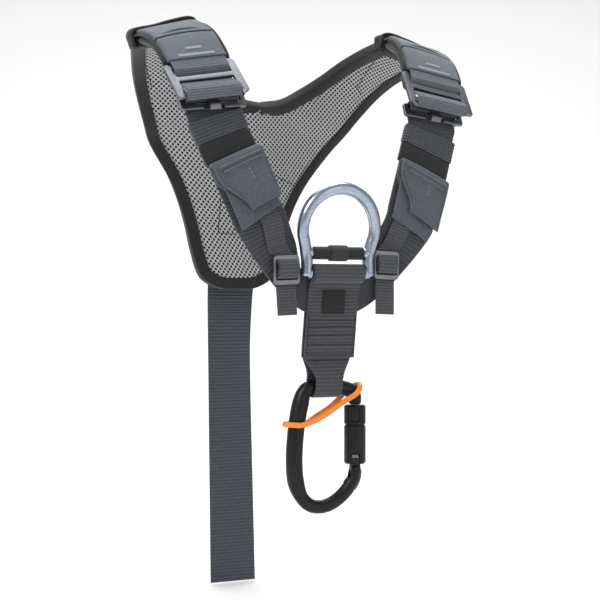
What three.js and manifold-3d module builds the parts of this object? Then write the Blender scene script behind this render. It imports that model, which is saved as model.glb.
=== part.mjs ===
// Climbing chest harness, worn upright. Millimetres, +Z up, front towards -Y, wearer's left on +X.
// The origin lies between the shoulders, at the height of the webbing over the shoulder's crest.
import * as THREE from 'three';
import { mergeVertices } from 'three/addons/utils/BufferGeometryUtils.js';
import Module from 'manifold-3d';

const wasm = await Module();
wasm.setup();

// Clearance between pieces, and cloth
const GAP = 0.3;
const TAPE = 1.0; // binding and sleeve cloth
const TAPE_GAP = 0.55; // between the binding and the padded edge inside it
const WEB = 2.0; // main webbing
const WEB_WIDTH = 45;

// Yoke: a padded V on the back that runs up to both shoulders
const SHOULDER_X = 114.5; // mid-plane to the pad's middle on the crest
const CREST_Z = -10.5;
const CREST_SLOPE = 15; // degrees, falling outwards
const PAD_WIDTH = 53;
const PAD_THICK = 7;
const BACK_Y = 115;
const BACK_DROP = 213;
const BOTTOM_WIDTH = 52;
const NAPE_Y = 65;
const NAPE_DROP = 54;
const LOBE_X = 87; // outer edge level with the nape
const LOBE_Y = 103;
const LOBE_DROP = 85;
const BINDING_WIDTH = 9;

// Front of the shoulder, measured along the pad from the crest
const FRONT_RADIUS = 52;
const FRONT_ANGLE = 50; // degrees below level, once past the bend
const BUCKLE_X = 103;
const BUCKLE_AT = 82.5;
const BUCKLE_SLOPE = 6.5;
const FRONT_PAD_THICK = 10;
const SLEEVE_WIDTH = 50;
const SLEEVE_SPLIT = 34.5;
const SLEEVE_SLIT = 1.6;
const BAND_WIDTH = 13;
const BAND_THICK = 2.5;

// Buckle
const FRAME_WIDTH = 64;
const FRAME_HEIGHT = 42;
const FRAME_THICK = 3;
const FRAME_ARM = 8.6;
const FRAME_BAR = 4.6;
const PLATE_WIDTH = 56;
const PLATE_HEIGHT = 12.5;
const PLATE_THICK = 3;
const PLATE_TILT = 29; // degrees from upright
const PLATE_TOP_Y = -62.3;
const PLATE_TOP_Z = -65;
const PLATE_BAR = 2.5;
const PLATE_SLOT = 4.6;
const NOTCH_WIDTH = 17;
const NOTCH_DEPTH = 4.5;

// Chest strap
const CHEST_BEND_Z = -81;
const CHEST_LOW_X = 66;
const CHEST_LOW_Y = -83.5;
const CHEST_LOW_Z = -163;
const CHEST_SLOPE = 19; // degrees from upright
const TUCK_AT = 7; // where its end enters the centre panel
const TUCK_WIDTH = 27;
const KEEPER_LENGTH = 17.5;
const KEEPER_THICK = 1.8;
const ELASTIC_LENGTH = 16.5;
const ELASTIC_THICK = 1.2;
const POUCH_LENGTH = 43;
const POUCH_WIDTH = 47;
const POUCH_HEM = 39; // across its lower edge
const POUCH_DEPTH = 6.5; // between the middles of its two layers
const POUCH_THICK = 2.2;
const POUCH_BASE_DROP = 9;

// Adjuster beside the ring
const ADJUSTER_X = 44.8;
const ADJUSTER_Y = -84.5;
const ADJUSTER_Z = -197.5;
const ADJUSTER_WIDTH = 22.4;
const ADJUSTER_HEIGHT = 23;
const ADJUSTER_THICK = 2.4;
const NARROW_WIDTH = 17;
const NARROW_THICK = 1.5;

// Ring
const RING_Y = -85.5;
const RING_ARC_Z = -168;
const RING_RADIUS = 31.8; // to the rod's middle
const RING_ROD = 9.4;
const RING_CROWN = 10.4; // rod's height at the top
const LEG_SPACING = 54.5;
const LEG_END_Z = -206;
const UPPER_BAR_Z = -187;
const LOWER_BAR_Z = -203;
const BAR_ROD = 6;
const WRAP_THICK = 1.8;
const MARKER_WIDTH = 15;

// Centre panel
const PANEL_TOP_Y = -76.5;
const PANEL_TOP_Z = -213;
const PANEL_LENGTH = 59;
const PANEL_LEAN = 8.7; // degrees
const PATCH_SIDE = 20;
const PATCH_THICK = 0.8;
const PATCH_AT = 2.5;
const LOOP_NECK = 24;
const ROD_PLAY = 1.9; // room for the rod to swing inside the loop

// Connector
const CONNECTOR_ROD_AT = 83; // along the panel
const CONNECTOR_HEIGHT = 107;
const CONNECTOR_WIDTH = 54.8; // between the middles of spine and gate
const SPINE_ROD = 13.6;
const TOP_ROD = 12;
const BOTTOM_ROD = 11;
const KNUCKLE_ROD = 9.6;
const GATE_ROD = 10;
const GATE_SLEEVE_ROD = 17.6;
const GATE_SLEEVE_LENGTH = 47.6;
const GATE_SLEEVE_RISE = 7; // its lower end above the hinge
const GATE_WALL = 3.2;
const HINGE_DROP = 69; // hinge pin below the top rod
const PIN_ROD = 3;
const TONGUE_THICK = 4.4;
const RETAINER_ROD = 4.4;

// Rear strap
const REAR_TOP_Z = -112;
const REAR_END_Z = -480;
const REAR_TWIST = 9; // degrees, below the yoke
const REAR_SWAY = 3; // sideways at its free end

// What differs between the wearer's right and left, in mm
const SIDES = [
  { name: 'right', sign: -1, keeperAt: 18.6, pouchAt: 53.5, adjusterUp: -2, tail: 25 },
  { name: 'left', sign: 1, keeperAt: 24.6, pouchAt: 61, adjusterUp: 2.5, tail: 29 },
];

// Shares along the spine, bottom to nape. rise and lean move the middle, flare, wing and turn the edge.
const SPINE_ROWS = [
  { rise: 0, lean: 0, flare: 0, wing: 0, turn: 0 },
  { rise: 0.12, lean: 0, flare: 0.15, wing: 0.1, turn: -0.04 },
  { rise: 0.28, lean: 0.05, flare: 0.26, wing: 0.25, turn: -0.06 },
  { rise: 0.45, lean: 0.16, flare: 0.37, wing: 0.45, turn: 0 },
  { rise: 0.62, lean: 0.34, flare: 0.49, wing: 0.61, turn: 0.12 },
  { rise: 0.8, lean: 0.6, flare: 0.66, wing: 0.77, turn: 0.4 },
  { rise: 1, lean: 1, flare: 1, wing: 1, turn: 1 },
];

// Shares from the nape to the crest for the neck edge and for the outer edge.
const LOBE_ROWS = [
  { neckX: 0.24, neckY: -0.01, neckZ: 0.07, edgeX: 0.18, edgeY: 0.12, edgeZ: 0.22 },
  { neckX: 0.44, neckY: 0.02, neckZ: 0.25, edgeX: 0.36, edgeY: 0.24, edgeZ: 0.46 },
  { neckX: 0.63, neckY: 0.16, neckZ: 0.48, edgeX: 0.53, edgeY: 0.38, edgeZ: 0.68 },
  { neckX: 0.76, neckY: 0.35, neckZ: 0.69, edgeX: 0.66, edgeY: 0.53, edgeZ: 0.83 },
  { neckX: 0.87, neckY: 0.57, neckZ: 0.85, edgeX: 0.78, edgeY: 0.69, edgeZ: 0.93 },
  { neckX: 0.95, neckY: 0.79, neckZ: 0.95, edgeX: 0.9, edgeY: 0.85, edgeZ: 0.98 },
  { neckX: 1, neckY: 1, neckZ: 1, edgeX: 1, edgeY: 1, edgeZ: 1 },
];

// Shares down the rear strap's free length, end first.
const REAR_ROWS = [
  { down: 1, twist: 0.3 },
  { down: 0.8, twist: 0.5 },
  { down: 0.6, twist: 0.7 },
  { down: 0.4, twist: 0.9 },
  { down: 0.2, twist: 1 },
  { down: 0, twist: 0.3 },
];

const rad = THREE.MathUtils.degToRad;
const mix = THREE.MathUtils.lerp;
const vec = (x, y, z) => new THREE.Vector3(x, y, z);
const X_AXIS = vec(1, 0, 0);

const COLOURS = {
  mesh: [0xa9a9ab, 0.9, 0],
  binding: [0x26241f, 0.85, 0],
  padCloth: [0x565659, 0.85, 0],
  sleeve: [0x767d82, 0.8, 0],
  webbing: [0x41454d, 0.85, 0],
  elastic: [0x383a3b, 0.85, 0],
  pouch: [0x575b63, 0.85, 0],
  steel: [0xa3a3a8, 0.35, 1],
  ring: [0x9aa6b8, 0.3, 1],
  black: [0x2f2f30, 0.45, 0.6],
  rubber: [0xf28a26, 0.5, 0],
};

const harness = new THREE.Group();

/** Adds a closed body from points and triangles, merged, with its faces turned out. */
function addSolid(name, colour, points, triangles, parent = harness) {
  let geometry = new THREE.BufferGeometry().setFromPoints(points);
  geometry.setIndex(triangles.flat());
  geometry = mergeVertices(geometry, 1e-4);
  const position = geometry.attributes.position;
  const index = Array.from(geometry.index.array);
  const kept = [];
  let volume = 0;
  for (let i = 0; i < index.length; i += 3) {
    const [a, b, c] = index.slice(i, i + 3);
    if (a === b || b === c || a === c) continue;
    kept.push([a, b, c]);
    const p = vec().fromBufferAttribute(position, a);
    const q = vec().fromBufferAttribute(position, b);
    volume += p.dot(q.cross(vec().fromBufferAttribute(position, c)));
  }
  geometry.setIndex(kept.map((t) => (volume < 0 ? [t[0], t[2], t[1]] : t)).flat());
  return addMesh(name, colour, geometry, parent);
}

/** Adds a finished geometry as a named mesh. */
function addMesh(name, colour, geometry, parent = harness) {
  geometry.computeVertexNormals();
  const [color, roughness, metalness] = COLOURS[colour];
  const mesh = new THREE.Mesh(geometry, new THREE.MeshStandardMaterial({ color, roughness, metalness }));
  mesh.name = name;
  parent.add(mesh);
  return mesh;
}

const SQUARE = [[0, 0], [1, 0], [1, 1], [0, 1]].map(([x, y]) => new THREE.Vector2(x, y));

/** Joins rings of points into triangles, with flat ends shaped by the section unless it is closed. */
function loft(rings, section, closed = false) {
  const count = rings[0].length;
  const triangles = [];
  const spans = closed ? rings.length : rings.length - 1;
  for (let i = 0; i < spans; i++) {
    const a = i * count;
    const b = ((i + 1) % rings.length) * count;
    for (let j = 0; j < count; j++) {
      const k = (j + 1) % count;
      triangles.push([a + j, a + k, b + k], [a + j, b + k, b + j]);
    }
  }
  if (!closed) {
    const last = (rings.length - 1) * count;
    const turned = THREE.ShapeUtils.area(section) < 0 ? -1 : 1;
    for (const t of THREE.ShapeUtils.triangulateShape(section, [])) {
      const [p, q, r] = turned > 0 ? t : [t[0], t[2], t[1]];
      triangles.push([p, r, q], [last + p, last + q, last + r]);
    }
  }
  return { points: rings.flat(), triangles };
}

/** A frame along a strap: middle c, sideways u and outward n. */
const spot = (frame, a, h) => frame.c.clone().addScaledVector(frame.u, a).addScaledVector(frame.n, h);

/** Outward direction for a path direction and a sideways one. */
const outward = (t, u) => t.clone().cross(u).normalize();

/** A strap's course: frames in order, read at any distance by straight mixing between neighbours. */
class Course {
  constructor(frames) {
    this.frames = frames;
    this.marks = [0];
    for (let i = 1; i < frames.length; i++) {
      this.marks.push(this.marks[i - 1] + frames[i].c.distanceTo(frames[i - 1].c));
    }
  }

  get length() {
    return this.marks[this.marks.length - 1];
  }

  at(s) {
    const last = this.marks.length - 2;
    let i = this.marks.findIndex((mark) => mark > s) - 1;
    if (i < 0) i = s <= 0 ? 0 : last;
    const k = (s - this.marks[i]) / (this.marks[i + 1] - this.marks[i]);
    const [a, b] = [this.frames[i], this.frames[i + 1]];
    return { c: a.c.clone().lerp(b.c, k), u: a.u.clone().lerp(b.u, k), n: a.n.clone().lerp(b.n, k) };
  }

  between(from, to) {
    const inside = this.marks.filter((mark) => mark > from + 0.5 && mark < to - 0.5);
    return [from, ...inside, to];
  }
}

/** Frames with outward directions from middles and sideways directions. */
function framesFrom(middles, sides) {
  return middles.map((c, i) => {
    const ahead = middles[Math.min(i + 1, middles.length - 1)];
    const behind = middles[Math.max(i - 1, 0)];
    const t = ahead.clone().sub(behind).normalize();
    return { c, u: sides[i].clone(), n: outward(t, sides[i]) };
  });
}

/** Offsets an open path in the (distance, height) plane to one side, mitred at its corners. */
function offsetPath(path, amount) {
  return path.map((p, i) => {
    const before = path[Math.max(i - 1, 0)];
    const after = path[Math.min(i + 1, path.length - 1)];
    const t1 = new THREE.Vector2(p[0] - before[0], p[1] - before[1]);
    const t2 = new THREE.Vector2(after[0] - p[0], after[1] - p[1]);
    if (i === 0) t1.copy(t2);
    if (i === path.length - 1) t2.copy(t1);
    t1.normalize();
    t2.normalize();
    const m = new THREE.Vector2(-t1.y - t2.y, t1.x + t2.x).normalize();
    const reach = amount / Math.max(0.4, m.x * -t1.y + m.y * t1.x);
    return [p[0] + m.x * reach, p[1] + m.y * reach];
  });
}

/** A strap that follows a path of distance and height along a course, as wide as given. */
function addRibbon(name, colour, course, path, width, thick) {
  const fine = [];
  path.forEach((p, i) => {
    const q = path[i + 1];
    fine.push(p);
    if (!q) return;
    const marks = course.marks.filter((m) => m > Math.min(p[0], q[0]) + 0.4 && m < Math.max(p[0], q[0]) - 0.4);
    if (q[0] < p[0]) marks.reverse();
    for (const m of marks) fine.push([m, mix(p[1], q[1], (m - p[0]) / (q[0] - p[0]))]);
  });
  const over = offsetPath(fine, thick / 2);
  const under = offsetPath(fine, -thick / 2);
  const rings = fine.map((p, i) => {
    const half = (typeof width === 'function' ? width(p[0], i / (fine.length - 1)) : width) / 2;
    const [o, l] = [over[i], under[i]];
    const top = course.at(o[0]);
    const low = course.at(l[0]);
    return [spot(low, -half, l[1]), spot(low, half, l[1]), spot(top, half, o[1]), spot(top, -half, o[1])];
  });
  const { points, triangles } = loft(rings, SQUARE);
  return addSolid(name, colour, points, triangles);
}

/** A solid whose section in the (sideways, height) plane runs along a course. */
function addRail(name, colour, course, from, to, section) {
  const stops = course.between(from, to);
  const outline = (s) => (typeof section === 'function' ? section(s) : section);
  const rings = stops.map((s) => outline(s).map(([a, h]) => spot(course.at(s), a, h)));
  const shape = outline(stops[0]).map(([x, y]) => new THREE.Vector2(x, y));
  const { points, triangles } = loft(rings, shape);
  return addSolid(name, colour, points, triangles);
}

/** A band round a strap: a closed path in the (sideways, height) plane with a wall, from one distance on. */
function addHoop(name, colour, course, from, to, half, low, high, wall) {
  const loopAt = (grow) => [
    [-half - grow, low - grow],
    [half + grow, low - grow],
    [half + grow, high + grow],
    [-half - grow, high + grow],
  ];
  const [inner, outer] = [loopAt(0), loopAt(wall)];
  const [start, end] = [course.at(from), course.at(to)];
  const rings = inner.map((p, i) => {
    const q = outer[i];
    return [spot(start, p[0], p[1]), spot(start, q[0], q[1]), spot(end, q[0], q[1]), spot(end, p[0], p[1])];
  });
  const { points, triangles } = loft(rings, null, true);
  return addSolid(name, colour, points, triangles);
}

/** Turns a geometry into a solid for joining and cutting, and back. */
function toManifold(geometry) {
  const bare = geometry.clone();
  bare.deleteAttribute('normal');
  bare.deleteAttribute('uv');
  const merged = mergeVertices(bare.index ? bare : mergeVertices(bare), 1e-4);
  const vertProperties = new Float32Array(merged.attributes.position.array);
  const triVerts = new Uint32Array(merged.index.array);
  return new wasm.Manifold(new wasm.Mesh({ numProp: 3, vertProperties, triVerts }));
}

function fromManifold(solid) {
  const { vertProperties, triVerts } = solid.getMesh();
  const geometry = new THREE.BufferGeometry();
  geometry.setAttribute('position', new THREE.BufferAttribute(new Float32Array(vertProperties), 3));
  geometry.setIndex(Array.from(triVerts));
  return geometry;
}

/** A plate with rounded corners and rectangular windows, in its own x, y and thickness z. */
function plateGeometry(outline, windows, thick, bevel = 0) {
  const shape = new THREE.Shape(outline);
  for (const hole of windows) shape.holes.push(new THREE.Path(hole));
  const geometry = new THREE.ExtrudeGeometry(shape, {
    depth: thick - 2 * bevel,
    bevelEnabled: bevel > 0,
    bevelThickness: bevel,
    bevelSize: bevel,
    bevelOffset: -bevel,
    bevelSegments: 1,
    curveSegments: 4,
  });
  return geometry.translate(0, 0, -thick / 2 + bevel);
}

/** Points of a rectangle whose corners are rounded in a few steps. */
function roundedBox(x0, y0, x1, y1, radius, steps = 3) {
  const corners = [[x1 - radius, y1 - radius], [x0 + radius, y1 - radius], [x0 + radius, y0 + radius], [x1 - radius, y0 + radius]];
  return corners.flatMap(([cx, cy], k) =>
    Array.from({ length: steps + 1 }, (_, i) => {
      const angle = ((k + i / steps) * Math.PI) / 2;
      return new THREE.Vector2(cx + radius * Math.cos(angle), cy + radius * Math.sin(angle));
    }),
  );
}

/** Places a group so that its x, y and z lie along a frame's side, up-strap and outward directions. */
function placeGroup(frame, a = 0, h = 0) {
  const group = new THREE.Group();
  const z = frame.n.clone().normalize();
  const x = frame.u.clone().addScaledVector(z, -frame.u.dot(z)).normalize();
  const y = z.clone().cross(x);
  group.setRotationFromMatrix(new THREE.Matrix4().makeBasis(x, y, z));
  group.position.copy(spot(frame, a, h));
  harness.add(group);
  return group;
}

/** A point moved to the given side of the mid-plane. */
const toSide = (p, sign) => vec(p.x * sign, p.y, p.z);

// Yoke rows for the +X half: neck-side and outer edge, from the bottom to the crest.
function yokeEdges() {
  const rise = PAD_WIDTH / 2;
  const slope = rad(CREST_SLOPE);
  const crestIn = vec(SHOULDER_X - rise * Math.cos(slope), 0, CREST_Z + rise * Math.sin(slope));
  const crestOut = vec(SHOULDER_X + rise * Math.cos(slope), 0, CREST_Z - rise * Math.sin(slope));
  const inner = [];
  const outer = [];
  for (const r of SPINE_ROWS) {
    inner.push(vec(0, mix(BACK_Y, NAPE_Y, r.lean), mix(-BACK_DROP, -NAPE_DROP, r.rise)));
    const edgeX = mix(BOTTOM_WIDTH / 2, LOBE_X, r.flare);
    outer.push(vec(edgeX, mix(BACK_Y, LOBE_Y, r.turn), mix(-BACK_DROP, -LOBE_DROP, r.wing)));
  }
  for (const r of LOBE_ROWS) {
    inner.push(
      vec(crestIn.x * r.neckX, mix(NAPE_Y, crestIn.y, r.neckY), mix(-NAPE_DROP, crestIn.z, r.neckZ)),
    );
    outer.push(
      vec(mix(LOBE_X, crestOut.x, r.edgeX), mix(LOBE_Y, crestOut.y, r.edgeY), mix(-LOBE_DROP, crestOut.z, r.edgeZ)),
    );
  }
  return { inner, outer };
}

/** Rows of the yoke with extra ones a binding's width in from the bottom, the nape and the crest. */
function yokeRows() {
  const { inner, outer } = yokeEdges();
  const nape = SPINE_ROWS.length - 1;
  const last = inner.length - 1;
  const spine = new THREE.CatmullRomCurve3(inner.slice(0, nape + 1));
  const neck = new THREE.CatmullRomCurve3(inner.slice(nape));
  const edge = new THREE.CatmullRomCurve3(outer);
  const innerAt = (t) => (t <= nape ? spine.getPoint(t / nape) : neck.getPoint((t - nape) / (last - nape)));
  const outerAt = (t) => edge.getPoint(t / last);
  const stepFor = (t, sign) => {
    const reach = outerAt(t).lerp(innerAt(t), 0.5).distanceTo(outerAt(t + sign * 0.5).lerp(innerAt(t + sign * 0.5), 0.5));
    return (sign * 0.5 * BINDING_WIDTH) / reach;
  };
  const special = [stepFor(0, 1), nape + stepFor(nape, -1), last + stepFor(last, -1)];
  const regular = [];
  for (let t = 0; t < last + 0.01; t += t < nape ? 1 : 0.5) regular.push(t);
  const kept = regular.filter((t) => Number.isInteger(t) || special.every((s) => Math.abs(s - t) > 0.3));
  const clear = kept.filter((t) => t === 0 || t === nape || t === last || special.every((s) => Math.abs(s - t) > 0.25));
  const all = [...clear, ...special].sort((a, b) => a - b);
  const rows = all.map((t) => ({ t, inner: innerAt(t), outer: outerAt(t) }));
  rows.nape = all.indexOf(nape);
  return rows;
}

const ROWS = yokeRows();

/** Frames of the shoulder course: the yoke's rows, then over the crest and down the front. */
function shoulderFrames() {
  const middles = ROWS.map((r) => r.inner.clone().lerp(r.outer, 0.5));
  const sides = ROWS.map((r) => r.outer.clone().sub(r.inner).normalize());
  const bend = rad(FRONT_ANGLE);
  const arc = FRONT_RADIUS * bend;
  const end = BUCKLE_AT + FRAME_HEIGHT;
  const stops = [];
  for (let i = 1; i <= 6; i++) stops.push((arc * i) / 6);
  stops.push(end);
  for (const s of stops) {
    const turn = Math.min(s, arc) / FRONT_RADIUS;
    const rest = Math.max(0, s - arc);
    const y = -FRONT_RADIUS * Math.sin(turn) - rest * Math.cos(bend);
    const z = CREST_Z - FRONT_RADIUS * (1 - Math.cos(turn)) - rest * Math.sin(bend);
    middles.push(vec(mix(SHOULDER_X, BUCKLE_X, s / BUCKLE_AT), y, z));
    const tilt = rad(mix(CREST_SLOPE, BUCKLE_SLOPE, Math.min(1, s / BUCKLE_AT)));
    sides.push(vec(Math.cos(tilt), 0, -Math.sin(tilt)));
  }
  for (let i = ROWS.length; i < middles.length; i++) {
    const ahead = middles[Math.min(i + 1, middles.length - 1)];
    const t = ahead.clone().sub(middles[i - 1]).normalize();
    sides[i].addScaledVector(t, -t.dot(sides[i])).normalize();
  }
  return framesFrom(middles, sides);
}

const SHOULDER = new Course(shoulderFrames());
const CREST_AT = SHOULDER.marks[ROWS.length - 1];
const HALF_PAD = PAD_THICK / 2;
const HALF_FRONT = FRONT_PAD_THICK / 2;
const WEB_H = HALF_PAD + TAPE_GAP + TAPE + 1.5 * GAP + WEB / 2; // webbing's middle above the pad's middle
const SLEEVE_H = WEB_H + WEB / 2 + GAP;
const SLEEVE_BASE = HALF_PAD + TAPE_GAP + TAPE + 1.5 * GAP;

/** Point of the yoke's pad in row i at share k across, moved out by h. */
function padPoint(i, k, h) {
  const row = ROWS[i];
  const p = row.inner.clone().lerp(row.outer, k);
  const n = SHOULDER.frames[i].n.clone();
  if (row.inner.x === 0 && k === 0) n.setX(0).normalize();
  return p.addScaledVector(n, h);
}

/** Shares across a row: both edges, a binding's width in from them, and two between. */
function acrossShares(i) {
  const width = ROWS[i].inner.distanceTo(ROWS[i].outer);
  const rim = BINDING_WIDTH / width;
  const start = i <= ROWS.nape ? 0.18 : rim;
  return [0, start, mix(start, 1 - rim, 0.35), mix(start, 1 - rim, 0.7), 1 - rim, 1];
}

/** The yoke's padded panel: both halves as one body that shares the spine. */
function addYokePad() {
  const points = [];
  const triangles = [];
  const columns = acrossShares(0).length;
  const index = new Map();
  const put = (i, j, h, sign) => {
    const onSpine = j === 0 && i <= ROWS.nape;
    const key = `${i} ${j} ${h} ${onSpine ? 0 : sign}`;
    if (!index.has(key)) {
      index.set(key, points.length);
      points.push(toSide(padPoint(i, acrossShares(i)[j], h), sign));
    }
    return index.get(key);
  };
  const quad = (a, b, c, d) => triangles.push([a, b, c], [a, c, d]);
  for (const sign of [1, -1]) {
    const turn = (...q) => (sign > 0 ? quad(...q) : quad(...q.reverse()));
    const wall = (i, j, k, l) =>
      turn(put(i, j, -HALF_PAD, sign), put(k, l, -HALF_PAD, sign), put(k, l, HALF_PAD, sign), put(i, j, HALF_PAD, sign));
    const last = ROWS.length - 1;
    for (let i = 0; i < last; i++) {
      for (let j = 0; j < columns - 1; j++) {
        const corners = [[i, j], [i, j + 1], [i + 1, j + 1], [i + 1, j]];
        turn(...corners.map(([r, c]) => put(r, c, -HALF_PAD, sign)));
        turn(...corners.map(([r, c]) => put(r, c, HALF_PAD, sign)).reverse());
      }
      wall(i + 1, columns - 1, i, columns - 1);
      if (i >= ROWS.nape) wall(i, 0, i + 1, 0);
    }
    for (let j = 0; j < columns - 1; j++) {
      wall(0, j + 1, 0, j);
      wall(last, j, last, j + 1);
    }
  }
  addSolid('yoke_pad', 'mesh', points, triangles);
}

/** The tape folded round the yoke's edge: a channel section carried once round the outline. */
function addYokeBinding() {
  const last = ROWS.length - 1;
  const end = acrossShares(0).length - 1;
  const stops = [];
  const push = (i, j, inI, inJ) => stops.push({ i, j, inI, inJ });
  push(0, 0, 1, 0);
  for (let j = 1; j < end; j++) push(0, j, 1, j);
  push(0, end, 1, end - 1);
  for (let i = 1; i < last; i++) push(i, end, i, end - 1);
  push(last, end, last - 1, end - 1);
  for (let j = end - 1; j > 0; j--) push(last, j, last - 1, j);
  push(last, 0, last - 1, 1);
  for (let i = last - 1; i > ROWS.nape; i--) push(i, 0, i, 1);
  push(ROWS.nape, 0, ROWS.nape, 1);
  push(ROWS.nape, 0, ROWS.nape - 1, 1);
  push(ROWS.nape, 0, ROWS.nape - 1, 0);
  const half = stops.map((stop, k) => {
    const base = (h) => padPoint(stop.i, acrossShares(stop.i)[stop.j], h);
    const flange = (h) => padPoint(stop.inI, acrossShares(stop.inI)[stop.inJ], h);
    return { base, flange, key: `${stop.i} ${stop.j}`, spine: stop.j === 0 && stop.i <= ROWS.nape && stop.inJ === 0, k };
  });
  // Outward directions come from the neighbours round the outline, mirrored across the mid-plane.
  const corners = half.filter((stop, k) => k === 0 || stop.key !== half[k - 1].key);
  const ring = corners.map((stop) => stop.base(0));
  const direction = new Map();
  corners.forEach((stop, k) => {
    const before = k > 0 ? ring[k - 1] : toSide(ring[1], -1);
    const after = k < ring.length - 1 ? ring[k + 1] : toSide(ring[k - 1], -1);
    const n = stop.base(1).sub(stop.base(0));
    const e1 = n.clone().cross(ring[k].clone().sub(before)).normalize();
    const e2 = n.clone().cross(after.clone().sub(ring[k])).normalize();
    const m = e1.clone().add(e2).normalize();
    direction.set(stop.key, m.divideScalar(Math.max(0.5, m.dot(e1))));
  });
  const [near, far] = [HALF_PAD + TAPE_GAP, HALF_PAD + TAPE_GAP + TAPE];
  const ringAt = (stop, sign) => {
    const e = direction.get(stop.key);
    const rim = (reach, h) => stop.base(h).addScaledVector(e, reach);
    return [
      stop.flange(-far),
      rim(TAPE_GAP + TAPE, -far),
      rim(TAPE_GAP + TAPE, far),
      stop.flange(far),
      stop.flange(near),
      rim(TAPE_GAP, near),
      rim(TAPE_GAP, -near),
      stop.flange(-near),
    ].map((p) => toSide(p, sign));
  };
  const right = half.slice(1, -1).reverse();
  const rings = [...half.map((stop) => ringAt(stop, 1)), ...right.map((stop) => ringAt(stop, -1))];
  const { points, triangles } = loft(rings, null, true);
  addSolid('yoke_binding', 'binding', points, triangles);
}

/** A course mirrored to the wearer's right when the sign asks for it. */
function courseOn(course, sign) {
  if (sign > 0) return course;
  return new Course(
    course.frames.map((f) => ({ c: toSide(f.c, -1), u: toSide(f.u, -1), n: toSide(f.n, -1) })),
  );
}

/** Points round part of a circle in the (distance, height) plane. */
function arcPath(s, h, radius, fromDegrees, toDegrees, steps) {
  return Array.from({ length: steps + 1 }, (_, i) => {
    const angle = rad(mix(fromDegrees, toDegrees, i / steps));
    return [s + radius * Math.cos(angle), h + radius * Math.sin(angle)];
  });
}

const FRAME_AT = CREST_AT + BUCKLE_AT;
const FRAME_H = WEB_H - WEB / 2 - GAP - FRAME_THICK / 2;
const ROLL_UP = 12.5; // lower bar below the frame's middle

/** Pads, sleeves and the band over the crest, on one side. */
function addShoulderCloth(side) {
  const course = courseOn(SHOULDER, side.sign);
  const half = PAD_WIDTH / 2;
  const padFrom = CREST_AT + TAPE_GAP + TAPE + 7 * GAP;
  const padEnd = FRAME_AT - FRAME_HEIGHT / 5;
  const taper = FRAME_AT - FRAME_HEIGHT / 2 - 4;
  const underFrame = FRAME_H - FRAME_THICK / 2 - GAP;
  const stops = [...course.between(padFrom, taper), FRAME_AT - FRAME_HEIGHT / 2 - 0.5, padEnd];
  const drop = [HALF_FRONT - underFrame, HALF_FRONT - underFrame + WEB + 2 * GAP];
  const rings = stops.map((s, i) => {
    const late = i - (stops.length - 2);
    const top = late < 0 ? HALF_FRONT : HALF_FRONT - drop[late];
    const low = top - (late === 1 ? 0.7 : 1) * FRONT_PAD_THICK;
    return [[-half, low], [half, low], [half, top], [-half, top]].map(([a, h]) => spot(course.at(s), a, h));
  });
  const pad = loft(rings, SQUARE);
  addSolid(`front_pad_${side.name}`, 'padCloth', pad.points, pad.triangles);
  const sleeve = [
    [-SLEEVE_WIDTH / 2, SLEEVE_BASE],
    [-SLEEVE_WIDTH / 2, SLEEVE_H + TAPE],
    [SLEEVE_WIDTH / 2, SLEEVE_H + TAPE],
    [SLEEVE_WIDTH / 2, SLEEVE_BASE],
    [SLEEVE_WIDTH / 2 - TAPE, SLEEVE_BASE],
    [SLEEVE_WIDTH / 2 - TAPE, SLEEVE_H],
    [-SLEEVE_WIDTH / 2 + TAPE, SLEEVE_H],
    [-SLEEVE_WIDTH / 2 + TAPE, SLEEVE_BASE],
  ];
  const split = CREST_AT + SLEEVE_SPLIT;
  addRail(`upper_sleeve_${side.name}`, 'sleeve', course, CREST_AT - BAND_WIDTH, split - SLEEVE_SLIT / 2, sleeve);
  addRail(
    `lower_sleeve_${side.name}`, 'sleeve', course, split + SLEEVE_SLIT / 2, FRAME_AT - FRAME_HEIGHT / 2 - 1, sleeve,
  );
}

/** The band that crosses the shoulder's crest, standing off the sleeve, with its sewn ends beside the pad. */
function addCrestBand(side) {
  const course = courseOn(SHOULDER, side.sign);
  const low = SLEEVE_H + TAPE + 5 * GAP;
  const rim = PAD_WIDTH / 2 + TAPE_GAP + 3 * TAPE + GAP;
  const [front, back] = [CREST_AT + BAND_WIDTH * 0.35, CREST_AT - BAND_WIDTH * 0.65];
  const line = [
    [rim, -HALF_PAD],
    [rim, low - 3],
    [rim - 3, low],
    [8, low + 0.4],
    [-8, low + 1.4],
    [-rim + 5, low + 1],
    [-rim, low - 2],
    [-rim, -HALF_PAD],
  ];
  const outer = offsetPath(line, -BAND_THICK);
  const [start, end] = [course.at(back), course.at(front)];
  const rings = line.map(([a, h], i) => {
    const [oa, oh] = outer[i];
    return [spot(start, a, h), spot(start, oa, oh), spot(end, oa, oh), spot(end, a, h)];
  });
  const { points, triangles } = loft(rings, SQUARE);
  addSolid(`crest_band_${side.name}`, 'binding', points, triangles);
}

/** The shoulder webbing: along the yoke, over the top bar, behind the middle bar, round the lower bar. */
function addShoulderWebbing(side) {
  const course = courseOn(SHOULDER, side.sign);
  const start = SHOULDER.marks[4];
  const above = FRAME_H + FRAME_THICK / 2 + GAP + WEB / 2;
  const below = FRAME_H - FRAME_THICK / 2 - GAP - WEB / 2;
  const wrap = BAR_ROD / 2 + GAP + WEB / 2;
  const roll = FRAME_AT + ROLL_UP;
  const path = [
    [start, WEB_H],
    [FRAME_AT - 12.8, above],
    [FRAME_AT - 8, below],
    [FRAME_AT - 1, below],
    ...arcPath(roll, FRAME_H, wrap, 125, -115, 10),
  ];
  addRibbon(`shoulder_webbing_${side.name}`, 'sleeve', course, path, WEB_WIDTH, WEB);
}

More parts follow.
